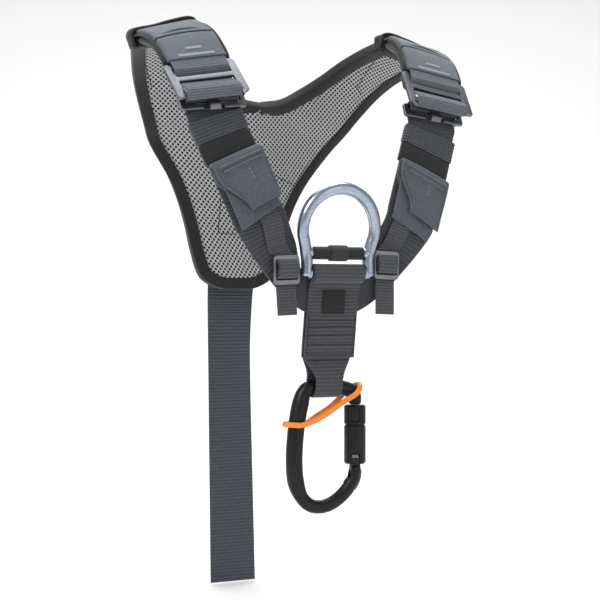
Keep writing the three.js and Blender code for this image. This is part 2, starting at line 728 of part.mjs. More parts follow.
/** The buckle's frame: two arms, a flat top and middle bar and a round lower bar inside the webbing's roll. */
function addBuckleFrame(side) {
  const course = courseOn(SHOULDER, side.sign);
  const group = placeGroup(sideFrame(course.at(FRAME_AT), side.sign), 0, FRAME_H);
  const [w, h] = [FRAME_WIDTH / 2, FRAME_HEIGHT / 2];
  const inner = w - FRAME_ARM;
  const [topBar, middleBar] = [16, 4.6];
  const outline = [
    ...roundedBox(-w, -h + 1.5, w, h, 4).slice(0, 4),
    new THREE.Vector2(inner, h),
    new THREE.Vector2(inner, topBar + FRAME_BAR / 2),
    new THREE.Vector2(-inner, topBar + FRAME_BAR / 2),
    new THREE.Vector2(-inner, h),
    ...roundedBox(-w, -h + 1.5, w, h, 4).slice(4),
  ];
  const windows = [
    roundedBox(-inner, middleBar + FRAME_BAR / 2, inner, topBar - FRAME_BAR / 2, 1.2, 2),
    roundedBox(-inner, -h + 3.5, inner, middleBar - FRAME_BAR / 2, 1.2, 2),
  ];
  let solid = toManifold(plateGeometry(outline, windows, FRAME_THICK, 0.5));
  const slot = roundedBox(-inner, -h - 5, inner, -h + 4.5, 1, 2);
  solid = solid.subtract(toManifold(plateGeometry(slot, [], 3 * FRAME_THICK)));
  const bar = new THREE.CylinderGeometry(BAR_ROD / 2, BAR_ROD / 2, 2 * inner + 4, 12);
  bar.rotateZ(Math.PI / 2).translate(0, -ROLL_UP, 0);
  solid = solid.add(toManifold(bar));
  addMesh(`buckle_frame_${side.name}`, 'steel', fromManifold(solid), group);
}

/** A frame whose side vector points to +X on both sides, so that hardware isn't mirrored. */
function sideFrame(frame, sign) {
  return sign > 0 ? frame : { c: frame.c, u: frame.u.clone().negate(), n: frame.n };
}

/** The centre panel's course, straight down from below the ring. */
const lean = rad(PANEL_LEAN);
const panelDown = vec(0, Math.sin(lean), -Math.cos(lean));
const PANEL = new Course(
  [0, CONNECTOR_ROD_AT + 30].map((s) => ({
    c: vec(0, PANEL_TOP_Y, PANEL_TOP_Z).addScaledVector(panelDown, s),
    u: X_AXIS.clone(),
    n: outward(panelDown, X_AXIS),
  })),
);

/** The chest strap's course: behind the buckle's plate, down to the bend, then in to the centre panel. */
function chestFrames() {
  const tilt = rad(PLATE_TILT);
  const slope = rad(CHEST_SLOPE);
  const plateSlope = rad(BUCKLE_SLOPE);
  const down = vec(0, -Math.sin(tilt), -Math.cos(tilt));
  const front = vec(0, -Math.cos(tilt), Math.sin(tilt));
  const plateTop = vec(0, PLATE_TOP_Y, PLATE_TOP_Z);
  const behind = PLATE_THICK / 2 + GAP + WEB + GAP + WEB / 2;
  const top = plateTop.clone().addScaledVector(front, -behind).addScaledVector(down, -1.5 * WEB);
  const reach = (top.z - CHEST_BEND_Z) / Math.cos(tilt);
  const bend = top.clone().addScaledVector(down, reach);
  const across = (z) => CHEST_LOW_X + (z - CHEST_LOW_Z) * Math.tan(slope);
  const sideAt = (angle) => vec(Math.cos(angle), 0, -Math.sin(angle));
  const shares = [0.05, 0.2, 0.35, 0.5, 0.65, 0.8, 0.9];
  const turned = shares.map((k) => sideAt(mix(plateSlope, slope, k)));
  const low = vec(CHEST_LOW_X, CHEST_LOW_Y, CHEST_LOW_Z);
  const middles = [
    top.setX(across(top.z)),
    bend.setX(top.x - (top.z - bend.z) * Math.tan(plateSlope)),
    ...shares.map((k) => bend.clone().lerp(low, k)),
    low,
    vec(0.76 * CHEST_LOW_X, PANEL_TOP_Y - 3, CHEST_LOW_Z - 24),
    PANEL.at(TUCK_AT).c.clone().setX(WEB_WIDTH / 2 + 1),
    PANEL.at(TUCK_AT + 1).c.clone().setX(WEB_WIDTH / 9),
  ];
  const [uPlate, u] = [plateSlope, slope].map(sideAt);
  const sides = [uPlate, uPlate, ...turned, u, vec(0.78, 0, -0.62), panelDown, panelDown];
  return framesFrom(middles, sides);
}

const CHEST = new Course(chestFrames());

/** The plate that hooks behind the buckle frame, with a window for the webbing and a notched lower edge. */
function addBucklePlate(side) {
  const course = courseOn(CHEST, side.sign);
  const behind = PLATE_THICK / 2 + GAP + WEB + GAP + WEB / 2;
  const group = placeGroup(sideFrame(course.at(1.5 * WEB), side.sign), 0, behind);
  const w = PLATE_WIDTH / 2;
  const slotHalf = WEB_WIDTH / 2 + 1;
  const window = roundedBox(-slotHalf, -PLATE_BAR - PLATE_SLOT, slotHalf, -PLATE_BAR, 1, 2);
  const notch = NOTCH_WIDTH / 2;
  const outline = roundedBox(-w, -PLATE_HEIGHT, w, 0, 2.5);
  let solid = toManifold(plateGeometry(outline, [window], PLATE_THICK, 0.5));
  const cut = roundedBox(-notch, -PLATE_HEIGHT - NOTCH_DEPTH, notch, -PLATE_HEIGHT + NOTCH_DEPTH, 2);
  solid = solid.subtract(toManifold(plateGeometry(cut, [], 2 * PLATE_THICK)));
  addMesh(`buckle_plate_${side.name}`, 'steel', fromManifold(solid), group);
}

/** The chest webbing: round the plate's top bar, then down its course into the centre panel. */
function addChestWebbing(side) {
  const course = courseOn(CHEST, side.sign);
  const step = WEB + GAP;
  const plate = step + WEB / 2 + GAP + PLATE_THICK / 2;
  const barAt = 1.5 * WEB + PLATE_BAR / 2;
  const wrap = Math.hypot(PLATE_BAR / 2, PLATE_THICK / 2) + GAP + WEB / 2;
  const path = [
    [barAt + wrap + 6, step],
    [barAt + wrap + 2.2, step],
    [barAt + wrap + 0.9, step + 0.5],
    ...arcPath(barAt, plate, wrap, -12, 235, 10),
    [barAt + 0.6, 0.3],
    [barAt + 4, 0],
    [CHEST.length, 0],
  ];
  const [from, to] = [CHEST.marks.at(-4), CHEST.marks.at(-2)];
  const width = (s) => mix(WEB_WIDTH, TUCK_WIDTH, THREE.MathUtils.clamp((s - from) / (to - from), 0, 1));
  addRibbon(`chest_webbing_${side.name}`, 'webbing', course, path, width, WEB);
}

/** Keeper, elastic and tail pouch on the chest strap. */
function addChestCloth(side) {
  const course = courseOn(CHEST, side.sign);
  const half = WEB_WIDTH / 2 + GAP;
  const hug = WEB / 2 + GAP;
  const keeperEnd = side.keeperAt + KEEPER_LENGTH;
  addHoop(`keeper_${side.name}`, 'pouch', course, side.keeperAt, keeperEnd, half, -hug, hug, KEEPER_THICK);
  const elasticFrom = keeperEnd + 1;
  const elasticEnd = Math.min(elasticFrom + ELASTIC_LENGTH, side.pouchAt - 1.5);
  addHoop(`elastic_${side.name}`, 'elastic', course, elasticFrom, elasticEnd, half, -hug, hug, ELASTIC_THICK);
  const low = WEB / 2 + GAP + POUCH_THICK / 2;
  const fold = POUCH_DEPTH / 2;
  const top = side.pouchAt + fold;
  const path = [
    [side.pouchAt + POUCH_LENGTH - 4, low],
    ...arcPath(top, low + fold, fold, 270, 90, 5),
    [side.pouchAt + POUCH_LENGTH - 7, low + POUCH_DEPTH],
    [side.pouchAt + POUCH_LENGTH, low + POUCH_DEPTH - 0.9],
  ];
  const width = (s) => mix(POUCH_WIDTH, POUCH_HEM, THREE.MathUtils.clamp((s - top) / POUCH_LENGTH, 0, 1));
  addRibbon(`pouch_${side.name}`, 'pouch', course, path, width, POUCH_THICK);
  const inner = low + POUCH_THICK + 2 * GAP;
  const base = [
    [top, inner],
    [side.pouchAt + POUCH_LENGTH + POUCH_BASE_DROP - 10, inner],
    [side.pouchAt + POUCH_LENGTH + POUCH_BASE_DROP, inner - GAP],
  ];
  addRibbon(`pouch_base_${side.name}`, 'pouch', course, base, POUCH_HEM, POUCH_THICK - 0.6);
}

/** The narrow strap's course, from under the pouch through the adjuster to its free tail. */
function narrowFrames(side) {
  const z = ADJUSTER_Z + side.adjusterUp;
  const under = CHEST.at(side.pouchAt + POUCH_LENGTH - 2);
  const start = spot(under, -4, WEB / 2 + GAP + NARROW_THICK / 2);
  const half = ADJUSTER_HEIGHT / 2;
  const knee = spot(CHEST.at(CHEST.marks.at(-4) + 2), -7, WEB / 2 + 4 * GAP + NARROW_THICK / 2);
  const middles = [
    start,
    knee,
    vec(mix(ADJUSTER_X, start.x, 0.25), ADJUSTER_Y + 0.4, z + half + 3),
    vec(ADJUSTER_X, ADJUSTER_Y, z + half - 2),
    vec(ADJUSTER_X - 0.6, ADJUSTER_Y, z - half),
    vec(ADJUSTER_X - 1.5, ADJUSTER_Y + 0.6, z - half - side.tail),
  ];
  const sides = [vec(0.95, 0, -0.31), vec(0.95, 0, -0.31), vec(0.97, 0, -0.24), vec(1, 0, -0.04), vec(1, 0, -0.04), vec(1, 0, -0.04)];
  return framesFrom(middles, sides.map((u) => u.normalize()));
}

/** Slide adjuster and the narrow strap threaded through it. */
function addAdjuster(side) {
  const plain = new Course(narrowFrames(side));
  const course = courseOn(plain, side.sign);
  const middle = (plain.marks[3] + plain.marks[4]) / 2;
  const reach = ADJUSTER_THICK / 2 + 1.5 * GAP + NARROW_THICK / 2;
  const slot = 4.6; // slots' middles from the adjuster's middle
  const path = [
    [0, 0],
    [plain.marks[1], 0],
    [middle - slot - 5.5, -reach + 0.2],
    [middle - slot - 1.7, -reach],
    [middle - slot + 1.7, reach],
    [middle + slot - 1.7, reach],
    [middle + slot + 1.7, -reach],
    [middle + slot + 6, -reach],
    [plain.length, 0],
  ];
  addRibbon(`adjuster_strap_${side.name}`, 'webbing', course, path, NARROW_WIDTH, NARROW_THICK);
  const group = placeGroup(sideFrame(course.at(middle), side.sign));
  const [w, h] = [ADJUSTER_WIDTH / 2, ADJUSTER_HEIGHT / 2];
  const open = NARROW_WIDTH / 2 + 0.7;
  const windows = [1, -1].map((k) => roundedBox(-open, k * slot - 3.1, open, k * slot + 3.1, 0.8, 2));
  const geometry = plateGeometry(roundedBox(-w, -h, w, h, 3), windows, ADJUSTER_THICK, 0.4);
  addMesh(`adjuster_${side.name}`, 'steel', fromManifold(toManifold(geometry)), group);
}

/** Circular rings of a rod along points in a plane of constant y. */
function rodRings(points, radii, sides) {
  return points.map((p, i) => {
    const before = points[Math.max(i - 1, 0)];
    const after = points[Math.min(i + 1, points.length - 1)];
    const t = after.clone().sub(before).normalize();
    const across = vec(0, 1, 0).cross(t).normalize();
    return Array.from({ length: sides }, (_, k) => {
      const angle = ((k + 0.5) * 2 * Math.PI) / sides;
      return p.clone().addScaledVector(across, radii[i] * Math.cos(angle)).add(vec(0, radii[i] * Math.sin(angle), 0));
    });
  });
}

function rodGeometry(points, radii, sides) {
  const circle = Array.from({ length: sides }, (_, k) => {
    const angle = ((k + 0.5) * 2 * Math.PI) / sides;
    return new THREE.Vector2(Math.cos(angle), Math.sin(angle));
  });
  const { points: all, triangles } = loft(rodRings(points, radii, sides), circle);
  const geometry = new THREE.BufferGeometry().setFromPoints(all);
  geometry.setIndex(triangles.flat());
  const solid = toManifold(geometry);
  return solid.volume() < 0 ? toManifold(flipped(geometry)) : solid;
}

function flipped(geometry) {
  const index = Array.from(geometry.index.array);
  for (let i = 0; i < index.length; i += 3) [index[i + 1], index[i + 2]] = [index[i + 2], index[i + 1]];
  geometry.setIndex(index);
  return geometry;
}

/** The ring: an arch whose legs draw in, joined by two crossbars, forged as one piece. */
function addRing() {
  const points = [];
  const radii = [];
  const leg = LEG_SPACING / 2;
  const steps = 18;
  const turn = Math.asin(leg / RING_RADIUS); // where the arc meets the leg's line, seen from below
  const legTop = RING_ARC_Z - RING_RADIUS * Math.cos(turn);
  points.push(vec(-leg, RING_Y, LEG_END_Z), vec(-leg, RING_Y, legTop - 7));
  radii.push(RING_ROD / 2, RING_ROD / 2);
  for (let i = 1; i < steps; i++) {
    const angle = mix(-Math.PI / 2 - (Math.PI / 2 - turn), Math.PI / 2 + (Math.PI / 2 - turn), i / steps);
    points.push(vec(RING_RADIUS * Math.sin(angle), RING_Y, RING_ARC_Z + RING_RADIUS * Math.cos(angle)));
    radii.push(mix(RING_ROD, RING_CROWN, Math.max(0, Math.cos(angle))) / 2);
  }
  points.push(vec(leg, RING_Y, legTop - 7), vec(leg, RING_Y, LEG_END_Z));
  radii.push(RING_ROD / 2, RING_ROD / 2);
  let solid = rodGeometry(points, radii, 12);
  for (const z of [UPPER_BAR_Z, LOWER_BAR_Z]) {
    const bar = new THREE.CylinderGeometry(BAR_ROD / 2, BAR_ROD / 2, LEG_SPACING, 12);
    solid = solid.add(toManifold(bar.rotateZ(Math.PI / 2).translate(0, RING_Y, z)));
  }
  addMesh('ring', 'ring', fromManifold(solid));
}

/** A hollow roll round a crossbar. */
function addRoll(name, colour, z, inner, wall, length) {
  const profile = [[inner, -length / 2], [inner + wall, -length / 2], [inner + wall, length / 2], [inner, length / 2], [inner, -length / 2]];
  const geometry = new THREE.LatheGeometry(profile.map(([r, y]) => new THREE.Vector2(r, y)), 16);
  geometry.rotateZ(Math.PI / 2).translate(0, RING_Y, z);
  addMesh(name, colour, fromManifold(toManifold(geometry)));
}

/** Distance and height on the panel's course of a point in the mid-plane. */
function onPanel(y, z) {
  const d = vec(0, y, z).sub(PANEL.frames[0].c);
  return [d.dot(panelDown), d.dot(PANEL.frames[0].n)];
}

const LAYER_H = WEB / 2 + GAP + WEB / 2;

/** Panel, patch, and the loop that carries the connector. */
function addCentre() {
  const [barS, barH] = onPanel(RING_Y, LOWER_BAR_Z);
  const wrap = BAR_ROD / 2 + GAP + WEB / 2;
  const path = [
    [PANEL_LENGTH, -LAYER_H],
    [1, -LAYER_H],
    ...arcPath(barS, barH, wrap, 215, 10, 9),
    [barS + 7, LAYER_H + 2.6],
    [3, LAYER_H],
    [PANEL_LENGTH, LAYER_H],
  ];
  path.splice(2, 0, [barS + 3.5, -LAYER_H + 0.2]);
  addRibbon('centre_webbing', 'webbing', PANEL, path, WEB_WIDTH, WEB);
  const patchH = LAYER_H + WEB / 2 + GAP;
  const half = PATCH_SIDE / 2;
  addRail('label_patch', 'binding', PANEL, PATCH_AT, PATCH_AT + PATCH_SIDE, [
    [-half, patchH],
    [half, patchH],
    [half, patchH + PATCH_THICK],
    [-half, patchH + PATCH_THICK],
  ]);
  const rod = TOP_ROD / 2 + ROD_PLAY + WEB / 2;
  const back = -2 * LAYER_H;
  const rodH = back / 2;
  const loop = [
    [PANEL_LENGTH - 24, 0],
    [PANEL_LENGTH + 1.5, 0],
    [CONNECTOR_ROD_AT - 9, rodH + rod - 0.5],
    ...arcPath(CONNECTOR_ROD_AT + GAP - ROD_PLAY, rodH, rod, 90, -90, 8),
    [CONNECTOR_ROD_AT - 9, rodH - rod + 0.5],
    [PANEL_LENGTH + 1.5, back],
    [PANEL_LENGTH - 24, back],
  ];
  const neck = (s) => mix(WEB_WIDTH - 2, LOOP_NECK, THREE.MathUtils.smoothstep(s, PANEL_LENGTH - 4, CONNECTOR_ROD_AT - 6));
  addRibbon('connector_loop', 'webbing', PANEL, loop, neck, WEB);
}

const ROD = spot(PANEL.at(CONNECTOR_ROD_AT), 0, -LAYER_H);
const GATE_X = CONNECTOR_WIDTH / 2 + 0.6;
const HINGE_Z = ROD.z - HINGE_DROP;
const SLEEVE_TOP_Z = HINGE_Z + GATE_SLEEVE_RISE + GATE_SLEEVE_LENGTH;

// The connector's line as shares of half its width across and of its height down, with rod sizes.
const CONNECTOR_ROWS = [
  { across: 1.02, down: 0.128, rod: 'gate' },
  { across: 1.0, down: 0.075, rod: 'gate' },
  { across: 0.88, down: 0.035, rod: 'top' },
  { across: 0.72, down: 0.014, rod: 'top' },
  { across: 0.53, down: 0.0, rod: 'top' },
  { across: 0.0, down: 0.0, rod: 'top' },
  { across: -0.55, down: 0.004, rod: 'top' },
  { across: -0.7, down: 0.044, rod: 'top' },
  { across: -0.79, down: 0.12, rod: 'spine' },
  { across: -0.89, down: 0.25, rod: 'spine' },
  { across: -0.97, down: 0.43, rod: 'spine' },
  { across: -1.0, down: 0.62, rod: 'spine' },
  { across: -0.94, down: 0.79, rod: 'spine' },
  { across: -0.76, down: 0.91, rod: 'bottom' },
  { across: -0.5, down: 0.98, rod: 'bottom' },
  { across: -0.2, down: 1.0, rod: 'bottom' },
  { across: 0.14, down: 0.975, rod: 'bottom' },
  { across: 0.45, down: 0.91, rod: 'bottom' },
  { across: 0.72, down: 0.83, rod: 'bottom' },
  { across: 0.93, down: 0.755, rod: 'knuckle' },
];

/** Oval connector: body with a forked knuckle, gate with its tongue, pin and locking sleeve. */
function addConnector() {
  const rods = { gate: GATE_ROD, top: TOP_ROD, spine: SPINE_ROD, bottom: BOTTOM_ROD, knuckle: KNUCKLE_ROD };
  const tall = CONNECTOR_HEIGHT - TOP_ROD / 2 - BOTTOM_ROD / 2;
  const points = CONNECTOR_ROWS.map((r) => vec((CONNECTOR_WIDTH / 2) * r.across + 0.6, ROD.y, ROD.z - tall * r.down));
  points[0].z = SLEEVE_TOP_Z + 1.6;
  points[0].x = GATE_X;
  points[1].x = GATE_X;
  const curve = new THREE.CatmullRomCurve3(points);
  const steps = 46;
  const line = [];
  const radii = [];
  for (let i = 0; i <= steps; i++) {
    const t = (i / steps) * (points.length - 1);
    const k = Math.min(Math.floor(t), points.length - 2);
    line.push(curve.getPoint(i / steps));
    radii.push(mix(rods[CONNECTOR_ROWS[k].rod], rods[CONNECTOR_ROWS[k + 1].rod], t - k) / 2);
  }
  let body = rodGeometry(line, radii, 12);
  const turned = (radius, length, sides = 16) => new THREE.CylinderGeometry(radius, radius, length, sides).rotateY(Math.PI / sides);
  const hinge = vec(GATE_X, ROD.y, HINGE_Z);
  const knuckle = toManifold(turned(KNUCKLE_ROD / 2, KNUCKLE_ROD).translate(hinge.x, hinge.y, hinge.z));
  const slot = toManifold(
    new THREE.BoxGeometry(30, TONGUE_THICK + 2 * GAP, 13).translate(hinge.x - 2, hinge.y, hinge.z + 1.5),
  );
  const bore = toManifold(turned(PIN_ROD / 2 + GAP, 2 * BOTTOM_ROD, 12).translate(hinge.x, hinge.y, hinge.z));
  body = body.add(knuckle).subtract(slot).subtract(bore);
  addMesh('carabiner_body', 'black', fromManifold(body));
  const pin = turned(PIN_ROD / 2, KNUCKLE_ROD, 12).translate(hinge.x, hinge.y, hinge.z);
  addMesh('gate_pin', 'black', fromManifold(toManifold(pin)));

  const rodLow = HINGE_Z + 8.4;
  const shank = new THREE.CylinderGeometry(GATE_ROD / 2, GATE_ROD / 2, SLEEVE_TOP_Z - rodLow, 16);
  let gate = toManifold(shank.rotateX(Math.PI / 2).translate(hinge.x, hinge.y, (SLEEVE_TOP_Z + rodLow) / 2));
  const tongue = new THREE.BoxGeometry(8, TONGUE_THICK, rodLow - HINGE_Z + 3);
  gate = gate.add(toManifold(tongue.translate(hinge.x, hinge.y, (rodLow + HINGE_Z + 3) / 2)));
  gate = gate.add(toManifold(turned(4, TONGUE_THICK).translate(hinge.x, hinge.y, hinge.z)));
  gate = gate.subtract(bore);
  addMesh('carabiner_gate', 'black', fromManifold(gate));

  const sleeveLow = HINGE_Z + GATE_SLEEVE_RISE;
  const hollow = GATE_ROD / 2 + GAP;
  const wide = GATE_SLEEVE_ROD / 2;
  const waist = mix(sleeveLow, SLEEVE_TOP_Z, 0.66);
  const profile = [
    [hollow, sleeveLow],
    [wide - 0.9, sleeveLow],
    [wide, sleeveLow + 1.2],
    [wide, waist - 1.4],
    [wide - 1.1, waist - 0.6],
    [wide - 1.1, waist + 0.6],
    [wide, waist + 1.4],
    [wide, SLEEVE_TOP_Z - 1.4],
    [wide - 1.2, SLEEVE_TOP_Z],
    [hollow, SLEEVE_TOP_Z],
    [hollow, sleeveLow],
  ];
  const lathe = new THREE.LatheGeometry(profile.map(([r, z]) => new THREE.Vector2(r, z)), 20);
  let sleeve = toManifold(lathe.rotateX(Math.PI / 2).translate(hinge.x, hinge.y, 0));
  const windowTall = 9.5;
  const opening = new THREE.BoxGeometry(7.4, GATE_WALL * 2, windowTall);
  sleeve = sleeve.subtract(
    toManifold(opening.translate(hinge.x, hinge.y - wide, (waist + SLEEVE_TOP_Z) / 2 + 0.2)),
  );
  addMesh('gate_sleeve', 'black', fromManifold(sleeve));
}

/** The rubber band from round the spine up to the shoulder on the gate's side, in front and behind. */
function addRetainer() {
  const grow = RETAINER_ROD / 2 + GAP;
  const low = ROD.z - 28.5;
  const spineX = -CONNECTOR_WIDTH / 2 + 3.4;
  const half = (x, z, alongX, alongZ, radius, turns) =>
    turns.map((turn) => {
      const reach = radius * Math.cos(rad(turn));
      return [x + alongX * reach, radius * Math.sin(rad(turn)), z + alongZ * reach];
    });
  const strand = [[-12, 11, 4], [-1, 11.8, 10], [11, 11, 17]].map(([x, y, z]) => [x, y, low + z]);
  const path = [
    ...half(spineX, low, -1, 0, SPINE_ROD / 2 + grow + 0.7, [90, 45, 0, -45, -90]),
    ...strand.map(([x, y, z]) => [x, -y, z]),
    ...half(24.3, low + 23.9, 0.7, 0.7, TOP_ROD / 2 + grow + 1, [-90, -45, 0, 45, 90]),
    ...strand.reverse(),
  ];
  const curve = new THREE.CatmullRomCurve3(path.map(([x, y, z]) => vec(x, ROD.y + y, z)), true);
  const steps = 48;
  const sides = 8;
  const rings = Array.from({ length: steps }, (_, i) => {
    const p = curve.getPoint(i / steps);
    const t = curve.getTangent(i / steps);
    const e1 = t.clone().cross(vec(0.3, 0, 1)).normalize();
    const e2 = t.clone().cross(e1);
    return Array.from({ length: sides }, (_, k) => {
      const angle = (k * 2 * Math.PI) / sides;
      const r = RETAINER_ROD / 2;
      return p.clone().addScaledVector(e1, r * Math.cos(angle)).addScaledVector(e2, r * Math.sin(angle));
    });
  });
  const { points, triangles } = loft(rings, null, true);
  addSolid('retainer_band', 'rubber', points, triangles);
}

/** The rear strap: sewn over the webbing on the yoke's back, then hanging free with a slight twist. */
function addRearStrap() {
  const spine = ROWS.slice(0, ROWS.nape + 1);
  const middles = [];
  const sides = [];
  const hang = vec(0, BACK_Y, -BACK_DROP - 12);
  for (const row of REAR_ROWS) {
    middles.push(vec(REAR_SWAY * row.down, hang.y, mix(hang.z, REAR_END_Z, row.down)));
    const twist = rad(REAR_TWIST * row.twist);
    sides.push(vec(Math.cos(twist), Math.sin(twist), 0));
  }
  for (const row of spine) {
    if (row.inner.z > REAR_TOP_Z) break;
    middles.push(row.inner.clone());
    sides.push(X_AXIS.clone());
  }
  const course = new Course(framesFrom(middles, sides));
  const height = WEB_H + WEB + 2 * GAP + 3.1;
  addRibbon('rear_strap', 'webbing', course, [[0, height], [course.length, height]], WEB_WIDTH, WEB);
}

addYokePad();
addYokeBinding();
for (const side of SIDES) {
  addShoulderCloth(side);
  addCrestBand(side);
  addShoulderWebbing(side);
  addBuckleFrame(side);
  addBucklePlate(side);
  addChestWebbing(side);
  addChestCloth(side);
  addAdjuster(side);
}
addRing();
addRoll('ring_wrap', 'elastic', UPPER_BAR_Z, BAR_ROD / 2 + GAP, WRAP_THICK, WEB_WIDTH - 1);
addRoll('marker_band', 'binding', UPPER_BAR_Z, BAR_ROD / 2 + 2 * GAP + WRAP_THICK, TAPE, MARKER_WIDTH);
addCentre();
addConnector();
addRetainer();
addRearStrap();

export default harness;
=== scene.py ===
"""Climbing chest harness: a padded yoke for both shoulders, threaded steel buckles, chest straps,
an omega ring, a centre panel with an oval connector, and a rear strap. All sizes are millimetres here
and become metres when a mesh is made. The front faces -Y and +Z is up."""

import math

import bmesh
import bpy
import numpy as np
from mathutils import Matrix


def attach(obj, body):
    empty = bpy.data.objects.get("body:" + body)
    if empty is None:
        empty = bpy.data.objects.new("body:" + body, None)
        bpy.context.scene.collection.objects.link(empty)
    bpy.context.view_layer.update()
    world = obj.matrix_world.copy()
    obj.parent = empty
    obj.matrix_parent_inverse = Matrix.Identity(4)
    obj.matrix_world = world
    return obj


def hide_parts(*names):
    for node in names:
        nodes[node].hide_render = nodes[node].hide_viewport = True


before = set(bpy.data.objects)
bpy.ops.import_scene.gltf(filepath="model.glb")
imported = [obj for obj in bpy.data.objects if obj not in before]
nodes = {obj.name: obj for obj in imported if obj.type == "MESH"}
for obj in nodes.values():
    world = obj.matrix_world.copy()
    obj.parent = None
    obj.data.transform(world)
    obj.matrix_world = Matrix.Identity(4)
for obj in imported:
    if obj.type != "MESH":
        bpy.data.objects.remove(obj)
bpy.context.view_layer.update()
scene = bpy.context.scene

# ---- Camera: level with the ring, 26 degrees to the wearer's right, as the photograph was taken.
YAW = math.radians(-26)
EYE_DISTANCE, EYE_ASIDE, EYE_HEIGHT = 1340, 7.6, -224
FOCAL = 95.76


def in_view(aside, ahead, up):
    """Aside and ahead as the camera sees them, turned by YAW round the upright into X and Y; Z is up."""
    return np.stack([aside * math.cos(YAW) - ahead * math.sin(YAW),
                     aside * math.sin(YAW) + ahead * math.cos(YAW), up], -1)


camera = bpy.data.objects.new("camera", bpy.data.cameras.new("camera"))
camera.data.lens = FOCAL
camera.data.sensor_width = 36
camera.data.clip_end = 50
camera.rotation_euler = (math.radians(90), 0, YAW)
camera.location = in_view(EYE_ASIDE, -EYE_DISTANCE, EYE_HEIGHT) / 1000
scene.collection.objects.link(camera)
scene.camera = camera
scene.view_settings.view_transform = "Standard"

# ---- Yoke pad: foam between a woven back and an open spacer mesh, cut as a V that runs from the
# middle of the back up to both shoulders. The mesh's holes sit in staggered rows about 3 mm apart.
SHOULDER_X, CREST_Z, CREST_SLOPE = 114.5, -10.5, math.radians(15)
PAD_WIDTH, HALF_PAD = 53, 3.5
BACK_Y, BACK_DROP, BOTTOM_HALF = 115, 213, 26
NAPE_Y, NAPE_DROP = 65, 54
LOBE_X, LOBE_Y, LOBE_DROP = 87, 103, 85
NAPE, TOP = 6, 13
CORNER = 15
BINDING = 9
# Shares along the spine: rise, lean, flare, wing, turn.
SPINE_ROWS = np.array([
    (0, 0, 0, 0, 0),
    (0.12, 0, 0.15, 0.1, -0.04),
    (0.28, 0.05, 0.26, 0.25, -0.06),
    (0.45, 0.16, 0.37, 0.45, 0),
    (0.62, 0.34, 0.49, 0.61, 0.12),
    (0.8, 0.6, 0.66, 0.77, 0.4),
    (1, 1, 1, 1, 1),
])
# Shares from the nape to the crest: neck edge x, y, z, then outer edge x, y, z.
LOBE_ROWS = np.array([
    (0.24, -0.01, 0.07, 0.18, 0.12, 0.22),
    (0.44, 0.02, 0.25, 0.36, 0.24, 0.46),
    (0.63, 0.16, 0.48, 0.53, 0.38, 0.68),
    (0.76, 0.35, 0.69, 0.66, 0.53, 0.83),
    (0.87, 0.57, 0.85, 0.78, 0.69, 0.93),
    (0.95, 0.79, 0.95, 0.9, 0.85, 0.98),
    (1, 1, 1, 1, 1, 1),
])


def mix(a, b, k):
    """a at k = 0, b at k = 1."""
    return a + (b - a) * k


def unit(v):
    """Vectors scaled to length one."""
    return v / np.maximum(np.linalg.norm(v, axis=-1, keepdims=True), 1e-9)


def ease(low, high, x):
    """Rises smoothly from 0 at low to 1 at high: 3k squared less 2k cubed of the clamped share."""
    k = np.clip((x - low) / (high - low), 0, 1)
    return k * k * (3 - 2 * k)


def curve(points, t):
    """Centripetal Catmull-Rom curve through points, t counted in points: on each span a cubic whose
    end slopes come from the neighbours, weighted by the square roots of the distances."""
    points = np.asarray(points, float)
    padded = np.vstack([2 * points[0] - points[1], points, 2 * points[-1] - points[-2]])
    t = np.clip(np.asarray(t, float), 0, len(points) - 1)
    i = np.minimum(t.astype(int), len(points) - 2)
    w = (t - i)[..., None]
    p0, p1, p2, p3 = (padded[i + k] for k in range(4))
    d0, d1, d2 = (np.maximum(np.linalg.norm(b - a, axis=-1, keepdims=True), 1e-6) ** 0.5
                  for a, b in ((p0, p1), (p1, p2), (p2, p3)))
    m1 = ((p1 - p0) / d0 - (p2 - p0) / (d0 + d1) + (p2 - p1) / d1) * d1
    m2 = ((p2 - p1) / d1 - (p3 - p1) / (d1 + d2) + (p3 - p2) / d2) * d1
    return (p1 + m1 * w + (-3 * p1 + 3 * p2 - 2 * m1 - m2) * w**2 + (2 * p1 - 2 * p2 + m1 + m2) * w**3)


